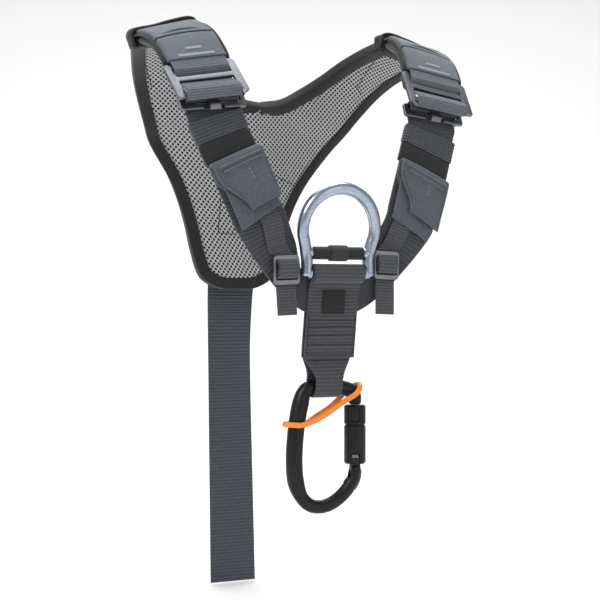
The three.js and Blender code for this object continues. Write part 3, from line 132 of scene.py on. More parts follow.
def yoke_edges(t):
    """Neck-side and outer edge of the +X half at t rows up from the bottom; the outer edge draws in
    along a quarter circle at the bottom corner."""
    rise = PAD_WIDTH / 2 * np.array([math.cos(CREST_SLOPE), 0, -math.sin(CREST_SLOPE)])
    crest = np.array([SHOULDER_X, 0, CREST_Z])
    crest_in, crest_out = crest - rise, crest + rise
    lift, lean, flare, wing, turn = SPINE_ROWS.T
    inner = np.stack([0 * lift, mix(BACK_Y, NAPE_Y, lean), mix(-BACK_DROP, -NAPE_DROP, lift)], -1)
    outer = np.stack([mix(BOTTOM_HALF, LOBE_X, flare), mix(BACK_Y, LOBE_Y, turn),
                      mix(-BACK_DROP, -LOBE_DROP, wing)], -1)
    nx, ny, nz, ex, ey, ez = LOBE_ROWS.T
    inner_up = np.stack([crest_in[0] * nx, mix(NAPE_Y, 0, ny), mix(-NAPE_DROP, crest_in[2], nz)], -1)
    outer_up = np.stack([mix(LOBE_X, crest_out[0], ex), mix(LOBE_Y, 0, ey),
                         mix(-LOBE_DROP, crest_out[2], ez)], -1)
    inner, outer = np.vstack([inner, inner_up]), np.vstack([outer, outer_up])
    spine = curve(inner[:NAPE + 1], t)
    neck = curve(inner[NAPE:], t - NAPE)
    inner_t = np.where((t <= NAPE)[:, None], spine, neck)
    outer_t = curve(outer, t)
    away = np.linalg.norm(mix(inner_t, outer_t, 0.5) - mix(inner[0], outer[0], 0.5), axis=-1)
    left = np.clip(CORNER - away, 0, CORNER)
    inset = CORNER - np.sqrt(CORNER**2 - left**2)
    return inner_t, outer_t - unit(outer_t - inner_t) * inset[:, None]


# Rows lie closer together at the bottom corner, where the edge turns fastest.
row_t = np.concatenate([np.linspace(0, 1, 26)[:-1] ** 1.6 * 1.2, np.linspace(1.2, TOP, 105)])
row_inner, row_outer = yoke_edges(row_t)
row_middle = mix(row_inner, row_outer, 0.5)
row_side = unit(row_outer - row_inner)
row_ahead = unit(np.gradient(row_middle, axis=0))
row_out = unit(np.cross(row_ahead, row_side))


def linear(code):
    """sRGB hex to linear light: the sRGB curve undone, channel by channel."""
    value = np.array([int(code[i:i + 2], 16) / 255 for i in (1, 3, 5)])
    return (*np.where(value <= 0.04045, value / 12.92, ((value + 0.055) / 1.055) ** 2.4), 1)


def add(tree, kind, inputs=None, **settings):
    """Adds a shader node, sets its settings, and fills its inputs with values or links."""
    made = tree.nodes.new("ShaderNode" + kind)
    for name, value in settings.items():
        setattr(made, name, value)
    for name, value in (inputs or {}).items():
        if isinstance(value, bpy.types.NodeSocket):
            tree.links.new(value, made.inputs[name])
        else:
            made.inputs[name].default_value = value
    return made


def new_material(name, **principled):
    """A material with one Principled shader, whose sockets take the values given."""
    material = bpy.data.materials.new(name)
    material.use_nodes = True
    tree = material.node_tree
    shader = tree.nodes["Principled BSDF"]
    for socket, value in principled.items():
        shader.inputs[socket.replace("_", " ")].default_value = value
    return material, tree, shader


def grid_quads(rows, columns, wrap=False, loop=False):
    """Faces between neighbours of a grid of points that are numbered row by row. wrap joins the last
    column to the first, and loop the last row to the first."""
    i, j = np.meshgrid(np.arange(rows - (not loop)), np.arange(columns - (not wrap)), indexing="ij")
    i2, j2 = (i + 1) % rows, (j + 1) % columns
    return np.stack([i * columns + j, i * columns + j2, i2 * columns + j2, i2 * columns + j], -1).reshape(-1, 4)


def place_mesh(name, points, faces, uvs, material, body="harness", sharp=40):
    """Puts points (mm), faces and per-corner UVs (mm) into an object that rides on a body."""
    mesh = bpy.data.meshes.new(name)
    mesh.from_pydata((np.asarray(points) / 1000).tolist(), [], [list(map(int, f)) for f in faces])
    if uvs is not None:
        mesh.uv_layers.new(name="cut").data.foreach_set("uv", np.asarray(uvs, np.float32).ravel())
    mesh.polygons.foreach_set("use_smooth", [True] * len(mesh.polygons))
    mesh.set_sharp_from_angle(angle=math.radians(sharp))
    mesh.materials.append(material)
    piece = bpy.data.objects.new(name, mesh)
    scene.collection.objects.link(piece)
    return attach(piece, body)


def skin(name, rings, uv, material, body="harness", loop=False, sharp=40):
    """Closed skin over a grid [stations, around, xyz]: each ring closes on itself and joins the next,
    and the ends are capped unless the stations run in a loop. uv has one column (and, in a loop, one
    row) more than the grid. The skin is turned so that the volume it holds is positive."""
    m, n = rings.shape[:2]
    quads = grid_quads(m, n, wrap=True, loop=loop)
    corners = uv.reshape(-1, 2)[grid_quads(*uv.shape[:2])]
    points = rings.reshape(-1, 3)
    a, b, c, d = (points[quads[:, k]] - points.mean(0) for k in range(4))
    volume = (a * np.cross(b, c)).sum() + (a * np.cross(c, d)).sum()
    faces, uvs = [], []
    if volume < 0:
        quads, corners = quads[:, ::-1], corners[:, ::-1]
    faces += quads.tolist()
    uvs.append(corners.reshape(-1, 2))
    if not loop:
        for station, order in ((0, -1), (m - 1, 1)):
            turn = order if volume >= 0 else -order
            ring = np.arange(n)[::turn]
            faces.append((station * n + ring).tolist())
            uvs.append(uv[station, ring])
    return place_mesh(name, points, faces, np.concatenate(uvs), material, body, sharp)


def weld(mesh, reach, turn_out=True):
    """Points closer than reach metres become one, and the faces are turned outwards."""
    work = bmesh.new()
    work.from_mesh(mesh)
    bmesh.ops.remove_doubles(work, verts=work.verts, dist=reach)
    if turn_out:
        bmesh.ops.recalc_face_normals(work, faces=work.faces)
    work.to_mesh(mesh)
    work.free()


def pad_height(t_row, across, width):
    """Half thickness of the foam: thin under the binding, fuller from 9 mm in, level beyond 24 mm."""
    edge = np.minimum(across, width - across)
    edge = np.where((t_row <= NAPE), width - across, edge)
    return HALF_PAD + 1.2 * ease(BINDING - 1, BINDING + 14, edge)


def yoke_surface(share, face):
    """Points of the yoke at shares across each row, on face +1 (back) or -1 (the wearer's side):
    the row's line, moved along the row's outward direction by the foam's half thickness."""
    line = row_inner[:, None] + (row_outer - row_inner)[:, None] * share[None, :, None]
    width = np.linalg.norm(row_outer - row_inner, axis=-1)[:, None]
    out = np.repeat(row_out[:, None], len(share), axis=1).copy()
    centre = np.where(row_t[:, None] <= NAPE, ease(0, 0.25, share)[None], 1)
    out[..., 0] *= centre
    height = pad_height(row_t[:, None], share[None] * width, width)
    return line + face * unit(out) * height[..., None]


YOKE_COLUMNS = 44
REVERSED = [0, 3, 2, 1]  # a face's corners the other way round


def wall(row, column, next_row, next_column):
    """Faces across the pad's edge, between the points of the back and of the wearer's side at each row
    and column and the next ones."""
    here, there = ((r * YOKE_COLUMNS + c) * 2 for r, c in ((row, column), (next_row, next_column)))
    return np.stack([here, here + 1, there + 1, there], -1)


share = np.linspace(0, 1, YOKE_COLUMNS)
back_face, wearer_face = yoke_surface(share, 1), yoke_surface(share, -1)
steps = np.linalg.norm(np.diff(wearer_face[..., 1:], axis=0), axis=-1)
run = np.vstack([np.zeros(YOKE_COLUMNS), np.cumsum(steps, axis=0)])
m = len(row_t)
yoke_points, yoke_faces, yoke_uvs = [], [], []
for sign in (1, -1):
    base = sum(len(p) for p in yoke_points)
    grid = np.stack([back_face, wearer_face], 2) * (sign, 1, 1)
    flat = grid.reshape(-1, 3)
    cut = np.stack([grid[..., 0], np.repeat(run[..., None], 2, 2)], -1).reshape(-1, 2)
    back = grid_quads(m, YOKE_COLUMNS) * 2
    k, last, top = np.arange(m - 1), YOKE_COLUMNS - 1, m - 1
    neck = np.arange(np.searchsorted(row_t, NAPE), m - 1)
    q = np.arange(last)
    quads = np.concatenate([
        back, back[:, REVERSED] + 1, wall(k, last, k + 1, last), wall(neck, 0, neck + 1, 0)[:, REVERSED],
        wall(0, q, 0, q + 1), wall(top, q, top, q + 1)[:, REVERSED],
    ])
    quads = quads[:, ::-1] if sign > 0 else quads
    yoke_points.append(flat)
    yoke_faces.append(quads + base)
    yoke_uvs.append(cut[quads].reshape(-1, 2))

# Spacer mesh: knitted polyester, light grey yarn round open holes in staggered slanted rows, and
# fluff in the yarn at 1.3 spots a millimetre. The holes are painted near black: painted shade inside them.
HOLE_ACROSS, HOLE_ALONG, ROW_SLANT = 4.4, 4.8, 0.35
YARN_PER_MM = 1.3
spacer_mesh, tree, shader = new_material("spacer_mesh", Roughness=0.9, Sheen_Weight=0.15)
cloth_uv = add(tree, "UVMap", uv_map="cut").outputs[0]
axes = add(tree, "SeparateXYZ", {0: cloth_uv}).outputs
slanted = add(tree, "Math", {0: axes[1], 1: ROW_SLANT, 2: axes[0]}, operation="MULTIPLY_ADD").outputs[0]
waves = []
for place, pitch in ((slanted, HOLE_ACROSS), (axes[1], HOLE_ALONG)):
    phase = add(tree, "Math", {0: place, 1: 2 * math.pi / pitch}, operation="MULTIPLY").outputs[0]
    waves.append(add(tree, "Math", {0: phase}, operation="COSINE").outputs[0])
lattice = add(tree, "Math", {0: waves[0], 1: waves[1]}, operation="MULTIPLY").outputs[0]
hole = add(tree, "MapRange", {0: lattice, 1: -0.02, 2: 0.34}, interpolation_type="SMOOTHSTEP").outputs[0]
yarn = add(tree, "TexNoise", {"Vector": cloth_uv, "Scale": YARN_PER_MM, "Detail": 3})
shade = add(tree, "MixRGB", {0: yarn.outputs[0], 1: linear("#9b9b9e"), 2: linear("#c6c6c8")})
# Painted shade: the hole mask tints the holes near black for the shade inside them; the bump below only sinks them.
tint = add(tree, "MixRGB", {0: hole, 1: shade.outputs[0], 2: linear("#131316")})
sunk = add(tree, "Math", {0: hole, 1: -1}, operation="MULTIPLY").outputs[0]
bump = add(tree, "Bump", {"Height": sunk, "Strength": 0.9, "Distance": 0.0008})
tree.links.new(tint.outputs[0], shader.inputs["Base Color"])
tree.links.new(bump.outputs[0], shader.inputs["Normal"])

yoke = place_mesh("yoke", np.concatenate(yoke_points), np.concatenate(yoke_faces), np.concatenate(yoke_uvs),
                  spacer_mesh)
weld(yoke.data, 1e-5)
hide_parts("yoke_pad")

# ---- Binding: black grosgrain tape folded over the pad's edge all the way round and sewn through.
TAPE, TAPE_GAP = 1.0, 0.55


def loop_frames(line, out):
    """Outward directions in the surface for a closed outline: outward normal crossed with the line's
    direction, both smoothed over the neighbours."""
    ahead = unit(np.roll(line, -1, 0) - np.roll(line, 1, 0))
    aside = unit(np.cross(out, ahead))
    aside = unit(np.roll(aside, 1, 0) + 2 * aside + np.roll(aside, -1, 0))
    return aside


def run_of(line):
    """Distance run along a line at each of its points: 0, then the sum of the gaps so far."""
    return np.concatenate([[0], np.cumsum(np.linalg.norm(np.diff(line, axis=0), axis=-1))])


def along(line, step):
    """The polyline resampled at equal steps of its own length; returns points and the run of each."""
    marks = run_of(line[:, :3])
    count = max(int(marks[-1] / step), 2) + 1
    s = np.linspace(0, marks[-1], count)
    return np.stack([np.interp(s, marks, line[:, k]) for k in range(line.shape[1])], -1), s


neck_rows = np.arange(np.searchsorted(row_t, NAPE), m)
edge_rows = np.arange(m)[::-1]
ends = np.linspace(0, 1, 12)[1:-1, None]
half_line = np.concatenate([
    row_inner[neck_rows],
    mix(row_inner[-1], row_outer[-1], ends),
    row_outer[edge_rows],
    mix(row_outer[0], row_inner[0], ends),
    row_inner[:1],
])
half_out = np.concatenate([
    row_out[neck_rows],
    np.repeat(row_out[-1:], len(ends), 0),
    row_out[edge_rows],
    np.repeat(row_out[:1], len(ends) + 1, 0),
])
half_out[0, 0] = half_out[-1, 0] = 0
both = np.hstack([half_line, half_out])
mirror = both[1:-1][::-1] * (-1, 1, 1, -1, 1, 1)
outline, outline_s = along(np.vstack([both, mirror, both[:1]]), 1.6)
outline, outline_out = outline[:-1, :3], unit(outline[:-1, 3:])
outline_aside = loop_frames(outline, outline_out)
centre = outline.mean(0)
if ((outline - centre) * outline_aside).sum() < 0:
    outline_aside = -outline_aside
near, far = HALF_PAD + 0.35, HALF_PAD + TAPE_GAP + TAPE
phi = np.linspace(math.pi / 2, -math.pi / 2, 11)
rim = np.stack([1.55 * np.abs(np.cos(phi)) ** 0.6, far * np.sign(np.sin(phi)) * np.abs(np.sin(phi)) ** 0.8], -1)
section = np.vstack([
    [(-BINDING, far - 0.25), (-BINDING + 0.6, far)], rim,
    [(-BINDING + 0.6, -far), (-BINDING, -far + 0.25)],
    [(-BINDING, -near), (0.3, -near), (0.3, near), (-BINDING, near)],
])
rings = outline[:, None] + outline_aside[:, None] * section[None, :, :1] + outline_out[:, None] * section[None, :, 1:]
uv = np.stack(np.meshgrid(outline_s, run_of(np.vstack([section, section[:1]])), indexing="ij"), -1)[..., ::-1]


def ribbed_cloth(name, dark, light, rib, thread, rough=0.85):
    """Woven tape or webbing on its own cut: cross ribs every rib mm along it, and threads across.
    The colour is painted lighter on the ribs' crests and darker between them (painted highlight and
    painted shade), besides the bump, and a slow noise varies the dye."""
    material, tree, shader = new_material(name, Roughness=rough, Sheen_Weight=0.2)
    uv = add(tree, "UVMap", uv_map="cut").outputs[0]
    axes = add(tree, "SeparateXYZ", {0: uv}).outputs
    waves = []
    for place, pitch in ((axes[1], rib), (axes[0], thread)):
        phase = add(tree, "Math", {0: place, 1: 2 * math.pi / pitch}, operation="MULTIPLY").outputs[0]
        waves.append(add(tree, "Math", {0: phase}, operation="SINE").outputs[0])
    weave = add(tree, "Math", {0: waves[1], 1: 0.14, 2: waves[0]}, operation="MULTIPLY_ADD").outputs[0]
    # The dye changes over about 3 mm.
    dye = add(tree, "TexNoise", {"Vector": uv, "Scale": 0.35, "Detail": 4}).outputs[0]
    # Painted highlight and shade: the weave, mostly its ribs, lightens the tint on the crests and darkens it in the
    # valleys.
    level = add(tree, "Math", {0: weave, 1: 0.34, 2: dye}, operation="MULTIPLY_ADD").outputs[0]
    tint = add(tree, "MixRGB", {0: add(tree, "Clamp", {0: level}).outputs[0], 1: linear(dark), 2: linear(light)})
    bump = add(tree, "Bump", {"Height": weave, "Strength": 0.5, "Distance": 0.0003})
    tree.links.new(tint.outputs[0], shader.inputs["Base Color"])
    tree.links.new(bump.outputs[0], shader.inputs["Normal"])
    return material


# Grosgrain: polyester tape with fine ribs across it, matt black with a brown cast.
grosgrain = ribbed_cloth("grosgrain", "#070706", "#141310", rib=1.1, thread=0.8)
binding = skin("binding", rings, uv, grosgrain, loop=True)
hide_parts("yoke_binding")

# ---- Front pads: a foam cushion in dark nylon ahead of each crest, ending behind the buckle frame.
# The cover's two faces are crowned and meet in rounded sides; the lower end is pressed thin.
FRONT_RADIUS, FRONT_ANGLE = 52, math.radians(50)
BUCKLE_X, BUCKLE_AT, BUCKLE_SLOPE = 103, 82.5, math.radians(6.5)
FRAME_HEIGHT, FRAME_THICK = 42, 3
FRONT_PAD_THICK = 10
GAP, WEB = 0.3, 2
WEB_H = HALF_PAD + TAPE_GAP + TAPE + 1.5 * GAP + WEB / 2
FRAME_H = WEB_H - WEB / 2 - GAP - FRAME_THICK / 2
SIDES = (("left", 1), ("right", -1))


def make_course(middles, sides, origin=0):
    """A strap's course: middles, sideways and outward directions, the last from the line's direction
    crossed with the side, and the distance of each middle from the one that counts as 0."""
    c, u = np.asarray(middles, float), unit(np.asarray(sides, float))
    ahead = np.vstack([c[1] - c[0], c[2:] - c[:-2], c[-1] - c[-2]])
    marks = run_of(c)
    return {"c": c, "u": u, "n": unit(np.cross(unit(ahead), u)), "marks": marks - marks[origin]}


def spot(course, sign, s, a, h):
    """Points at distance s along a course, a to its side and h outwards: middle + a side + h outward.
    Past either end the course goes straight on; sign -1 mirrors it to the wearer's right."""
    s, a, h = np.broadcast_arrays(*(np.asarray(x, float) for x in (s, a, h)))
    marks, c = course["marks"], course["c"]
    t = np.interp(s, marks, np.arange(len(marks)))
    past = (s - np.clip(s, marks[0], marks[-1]))[..., None]
    ends = np.where(past < 0, unit(c[1] - c[0]), unit(c[-1] - c[-2]))
    u, n = unit(curve(course["u"], t)), unit(curve(course["n"], t))
    return (curve(c, t) + past * ends + u * a[..., None] + n * h[..., None]) * (sign, 1, 1)


whole_t = np.arange(0, TOP + 0.01, 0.25)
whole_in, whole_out = yoke_edges(whole_t)
arc = FRONT_RADIUS * FRONT_ANGLE
front_s = np.concatenate([np.linspace(0, arc, 9)[1:], [arc + 12, arc + 30, BUCKLE_AT + FRAME_HEIGHT]])
turn = np.minimum(front_s, arc) / FRONT_RADIUS
rest = np.maximum(0, front_s - arc)
front_line = np.stack([
    mix(SHOULDER_X, BUCKLE_X, front_s / BUCKLE_AT),
    -FRONT_RADIUS * np.sin(turn) - rest * math.cos(FRONT_ANGLE),
    CREST_Z - FRONT_RADIUS * (1 - np.cos(turn)) - rest * math.sin(FRONT_ANGLE),
], -1)
tilt = mix(CREST_SLOPE, BUCKLE_SLOPE, np.minimum(1, front_s / BUCKLE_AT))
front_side = np.stack([np.cos(tilt), 0 * tilt, -np.sin(tilt)], -1)
middles = np.vstack([mix(whole_in, whole_out, 0.5), front_line])
sides = np.vstack([unit(whole_out - whole_in), front_side])
ahead = unit(np.gradient(middles, axis=0))
in_front = (np.arange(len(sides)) >= len(whole_t))[:, None]
sides = unit(sides - ahead * (sides * ahead).sum(-1, keepdims=True) * in_front)
SHOULDER = make_course(middles, sides, origin=len(whole_t) - 1)


def woven_cloth(name, dark, light, thread, rough=0.8, depth=0.35):
    """Plain-woven cloth on its own cut: warp and weft waves thread mm apart, drawn coarse enough to
    show, over a slow change of dye and a faint crease noise."""
    material, tree, shader = new_material(name, Roughness=rough, Sheen_Weight=0.25)
    uv = add(tree, "UVMap", uv_map="cut").outputs[0]
    axes = add(tree, "SeparateXYZ", {0: uv}).outputs
    waves = []
    for place in axes[:2]:
        phase = add(tree, "Math", {0: place, 1: 2 * math.pi / thread}, operation="MULTIPLY").outputs[0]
        waves.append(add(tree, "Math", {0: phase}, operation="SINE").outputs[0])
    weave = add(tree, "Math", {0: waves[0], 1: waves[1]}, operation="MULTIPLY").outputs[0]
    # The dye and the creases change over about 8 mm.
    dye = add(tree, "TexNoise", {"Vector": uv, "Scale": 0.12, "Detail": 6, "Roughness": 0.6}).outputs[0]
    level = add(tree, "Math", {0: weave, 1: 0.3, 2: dye}, operation="MULTIPLY_ADD").outputs[0]
    tint = add(tree, "MixRGB", {0: add(tree, "Clamp", {0: level}).outputs[0], 1: linear(dark), 2: linear(light)})
    height = add(tree, "Math", {0: dye, 1: 1.5, 2: weave}, operation="MULTIPLY_ADD").outputs[0]
    bump = add(tree, "Bump", {"Height": height, "Strength": depth, "Distance": 0.0003})
    tree.links.new(tint.outputs[0], shader.inputs["Base Color"])
    tree.links.new(bump.outputs[0], shader.inputs["Normal"])
    return material


# Pad cover: dark grey packcloth, a plain weave with a soft dull shine.
packcloth = woven_cloth("packcloth", "#151619", "#242529", thread=1.0)


def front_pad(name, sign):
    """Crowned pad: round the section by angle, across = half width times cos to the 0.4, up = half
    height times sin to the 0.75; both shrink as a quarter circle within 5 mm of each end."""
    start, end = TAPE_GAP + TAPE + 7 * GAP, BUCKLE_AT - FRAME_HEIGHT / 5
    s = np.concatenate([
        start + 6 * np.linspace(0, 1, 9)[:-1] ** 2,
        np.linspace(start + 6, end - 5, 60),
        end - 5 + 5 * np.linspace(0, 1, 8)[1:] ** 0.5,
    ])
    low_end = ease(BUCKLE_AT - FRAME_HEIGHT / 2 - 6, BUCKLE_AT - FRAME_HEIGHT / 2 - 0.5, s)
    tail = ease(BUCKLE_AT - FRAME_HEIGHT / 2, end - 2, s)
    top = 5 - 3.1 * low_end - 2.6 * tail
    low = np.minimum(top - FRONT_PAD_THICK + 3 * tail, -5 + 0 * s)
    reach = np.minimum(s - start, end - s)
    round_off = np.sqrt(1 - (1 - np.clip(reach / 5, 0.04, 1)) ** 2)
    angle = np.linspace(0, 2 * math.pi, 56, endpoint=False)
    a = np.sign(np.cos(angle)) * np.abs(np.cos(angle)) ** 0.4 * (PAD_WIDTH / 2 - 0.6)
    b = np.sign(np.sin(angle)) * np.abs(np.sin(angle)) ** 0.75
    middle, half = (top + low) / 2, (top - low) / 2
    rings = spot(SHOULDER, sign, s[:, None], a[None] * mix(0.94, 1, round_off)[:, None],
                 middle[:, None] + b[None] * (half * round_off)[:, None])
    girth = np.append(run_of(rings[30]), 160)
    uv = np.stack(np.broadcast_arrays(girth[None], s[:, None]), -1)
    return skin(name, rings, uv, packcloth)


for side, sign in SIDES:
    pad = front_pad(f"front_cushion_{side}", sign)
    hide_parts(f"front_pad_{side}")

# ---- Shoulder webbing and sleeves: ribbed 45 mm polyester webbing sewn along the yoke, over the frame's
# top bar, behind its middle bar and rolled round the lower bar; two cloth sleeves cover it on the crest.
WEB_WIDTH, SLEEVE_WIDTH = 45, 50
WEB_FULLER = 2.2  # the shoulder webbing is drawn wider by this, so that it fills the buckle frame
SLEEVE_SPLIT, SLEEVE_SLIT = 34.5, 1.6
SLEEVE_BASE = HALF_PAD + TAPE_GAP + TAPE + 1.5 * GAP
SLEEVE_H = WEB_H + WEB / 2 + GAP
BAND_WIDTH, BAND_THICK = 13, 2.5
BAR_ROD, ROLL_UP = 6, 12.5


def profile(half, thick, columns, run, ribs, across=False):
    """Half thickness over a strap's width: thick / 2 with a quarter-round edge, plus ribs that rise as
    a sine of the run, or of the place across, and die out at the plain selvedges."""
    k = np.linspace(-1, 1, columns) if across else np.sin(np.linspace(-math.pi / 2, math.pi / 2, columns))
    a = half[:, None] * k[None]
    edge = np.clip((np.abs(a) - (half[:, None] - thick / 2)) / (thick / 2), 0, 1)
    body = thick / 2 * np.sqrt(np.clip(1 - edge**2, 0.02, 1))
    if ribs:
        pitch, depth, selvedge = ribs
        inside = ease(0, 1.2, half[:, None] - selvedge - np.abs(a))
        body = body + depth * np.sin(2 * math.pi * (a if across else run[:, None]) / pitch) * inside
    return a, body


def path_run(path, step, smooth=True):
    """A (distance, height) path, smoothed and cut into equal steps, with its normal and its own run."""
    path = np.hstack([np.asarray(path, float), np.zeros((len(path), 1))])
    if smooth:
        path = curve(path, np.linspace(0, len(path) - 1, 16 * len(path)))
    line, run = along(path, step)
    ahead = unit(np.gradient(line[:, :2], axis=0))
    return line[:, :2], np.stack([-ahead[:, 1], ahead[:, 0]], -1), run


def ribbon(name, course, sign, path, width, thick, material, step=1.0, ribs=None, crown=0.0,
           columns=17, smooth=True, aside=0.0, slant=0.0):
    """Strap along a course: at each step of the path, the profile's upper and lower faces are laid off
    along the path's normal and placed by distance (plus slant times side), side (plus aside) and height."""
    line, normal, run = path_run(path, step, smooth)
    shift = aside(line[:, :1]) if callable(aside) else aside
    half = (width(line[:, 0]) if callable(width) else np.full(len(line), width)) / 2
    a, body_h = profile(half, thick, columns, run, ribs)
    lift = crown * (1 - (a / half[:, None]) ** 2)
    faces = []
    for turn in (1, -1):
        s = line[:, :1] + turn * normal[:, :1] * body_h
        h = line[:, 1:] + turn * normal[:, 1:] * body_h + lift
        faces.append(spot(course, sign, s + slant * a, a + shift, h)[:, ::turn])
    rings = np.concatenate(faces, 1)
    u = np.concatenate([a, a[:, ::-1], a[:, :1]], 1)
    uv = np.stack([u, np.broadcast_to(run[:, None], u.shape)], -1)
    return skin(name, rings, uv, material)


def band(name, course, sign, line, start, end, thick, material, ribs=None, columns=9,
         loop=True, smooth=True, slant=0.0, bow=(0.0, 0.0)):
    """Cloth wrapped across a strap: the (side, height) line is carried from start to end along the
    course, its thickness laid off along its own normal; a closed line makes a hoop. bow draws the first
    and the last edge back towards the crest by a parabola, deepest at the middle of the strap."""
    points = np.asarray(line, float)
    if loop:
        points = np.vstack([points, points[:1]])
    line, normal, run = path_run(points, 0.8, smooth)
    if loop:
        line, normal = line[:-1], normal[:-1]
    middle = 1 - (line[:, 0] / np.abs(line[:, 0]).max()) ** 2
    half = (end - start + (bow[0] - bow[1]) * middle) / 2
    centre = (start + end - sum(bow) * middle[:, None]) / 2
    across, body_h = profile(half, thick, columns, run[:len(line)], ribs, across=bool(ribs))
    faces = []
    for turn in (1, -1):
        a = line[:, :1] + turn * normal[:, :1] * body_h
        h = line[:, 1:] + turn * normal[:, 1:] * body_h
        faces.append(spot(course, sign, centre + across + slant * a, a, h)[:, ::turn])
    rings = np.concatenate(faces, 1)
    s = np.concatenate([across, across[:, ::-1], across[:, :1]], 1)
    if loop:
        s = np.vstack([s, s[:1]])
    uv = np.stack([s, np.broadcast_to(run[:len(s), None], s.shape)], -1)
    if ribs:
        uv = uv[..., ::-1]
    return skin(name, rings, uv, material, loop=loop)


def round_line(points, radius):
    """Corners of a closed (side, height) line cut back by radius and joined by quadratic arcs."""
    points = np.asarray(points, float)
    before, after = np.roll(points, 1, 0), np.roll(points, -1, 0)
    k = np.linspace(0, 1, 5)[None, :, None]
    first = (points + unit(before - points) * radius)[:, None]
    last = (points + unit(after - points) * radius)[:, None]
    return ((1 - k) ** 2 * first + 2 * k * (1 - k) * points[:, None] + k**2 * last).reshape(-1, 2)


def stitches(name, centres, ahead, out, material, length=2.6, width=0.7, high=0.35):
    """A row of thread stitches: each one a low ellipsoid, length along the row, width across, high off
    the cloth; all of them are one grid of angles added to the row's points."""
    ahead = unit(ahead - out * (ahead * out).sum(-1, keepdims=True))
    aside = np.cross(out, ahead)
    lat = np.linspace(-math.pi / 2, math.pi / 2, 6)
    lon = np.linspace(0, 2 * math.pi, 7)[:-1]
    x = np.sin(lat)[:, None] * length / 2 * np.ones(6)[None]
    y = np.cos(lat)[:, None] * np.cos(lon)[None] * width / 2
    z = np.cos(lat)[:, None] * np.sin(lon)[None] * high
    grid = np.stack([x, y, z], -1).reshape(-1, 3)
    points = centres[:, None] + (grid[None, :, :1] * ahead[:, None] + grid[None, :, 1:2] * aside[:, None]
                                 + grid[None, :, 2:] * out[:, None])
    faces = (grid_quads(6, 6, wrap=True)[None] + np.arange(len(centres))[:, None, None] * 36).reshape(-1, 4)
    piece = place_mesh(name, points.reshape(-1, 3), faces, None, material)
    weld(piece.data, 1e-7)
    return piece


def seam_row(name, course, sign, s, a, h, material, pitch=3.2, **sizes):
    """Stitches along a line of (s, a) knots on a course at height h, pitch mm apart."""
    knots = np.stack(np.broadcast_arrays(np.asarray(s, float), np.asarray(a, float), np.asarray(h, float)), -1)
    marks = run_of(knots)
    at = np.arange(pitch / 2, marks[-1], pitch)
    q = np.stack([np.interp(at, marks, knots[:, k]) for k in range(3)], -1)
    p = np.stack([np.interp(at + 0.2, marks, knots[:, k]) for k in range(3)], -1)
    centre = spot(course, sign, *q.T)
    ahead = spot(course, sign, *p.T) - centre
    ahead[-1] = ahead[-1] if np.linalg.norm(ahead[-1]) > 1e-6 else ahead[max(len(ahead) - 2, 0)]
    out = unit(spot(course, sign, q[:, 0], q[:, 1], q[:, 2] + 1) - centre)
    return stitches(name, centre, ahead, out, material, **sizes)


# Sleeve cloth: light blue-grey polyester in a tight plain weave, matt. Shoulder webbing: the same dye, with
# fine ribs and a duller sheen. Thread: bonded nylon with a slight gloss, pale or near black.
sleeve_cloth = woven_cloth("sleeve_polyester", "#475058", "#5c646c", thread=0.9, rough=0.75)
shoulder_web = ribbed_cloth("shoulder_webbing", "#474d53", "#686e74", rib=1.6, thread=1.1)
pale_thread, tree, shader = new_material("pale_thread", Roughness=0.6, Sheen_Weight=0.2, Base_Color=linear("#848b92"))
dark_thread, tree, shader = new_material("dark_thread", Roughness=0.65, Base_Color=linear("#17171a"))

WEB_START = SHOULDER["marks"][12]
ABOVE = FRAME_H + FRAME_THICK / 2 + GAP + WEB / 2
BELOW = FRAME_H - FRAME_THICK / 2 - GAP - WEB / 2
roll_angle = np.radians(np.linspace(125, -115, 22))
wrap = BAR_ROD / 2 + GAP + WEB / 2
roll = np.stack([BUCKLE_AT + ROLL_UP + wrap * np.cos(roll_angle), FRAME_H + wrap * np.sin(roll_angle)], -1)
straight = [(s, WEB_H) for s in np.linspace(WEB_START, BUCKLE_AT - 25, 24)]
web_path = np.array([
    *straight, (BUCKLE_AT - 19, mix(WEB_H, ABOVE, 0.6)), (BUCKLE_AT - 13.4, ABOVE), (BUCKLE_AT - 11.6, ABOVE - 0.4),
    (BUCKLE_AT - 8.8, BELOW + 0.3), (BUCKLE_AT - 7, BELOW), (BUCKLE_AT - 1.5, BELOW), *roll,
])
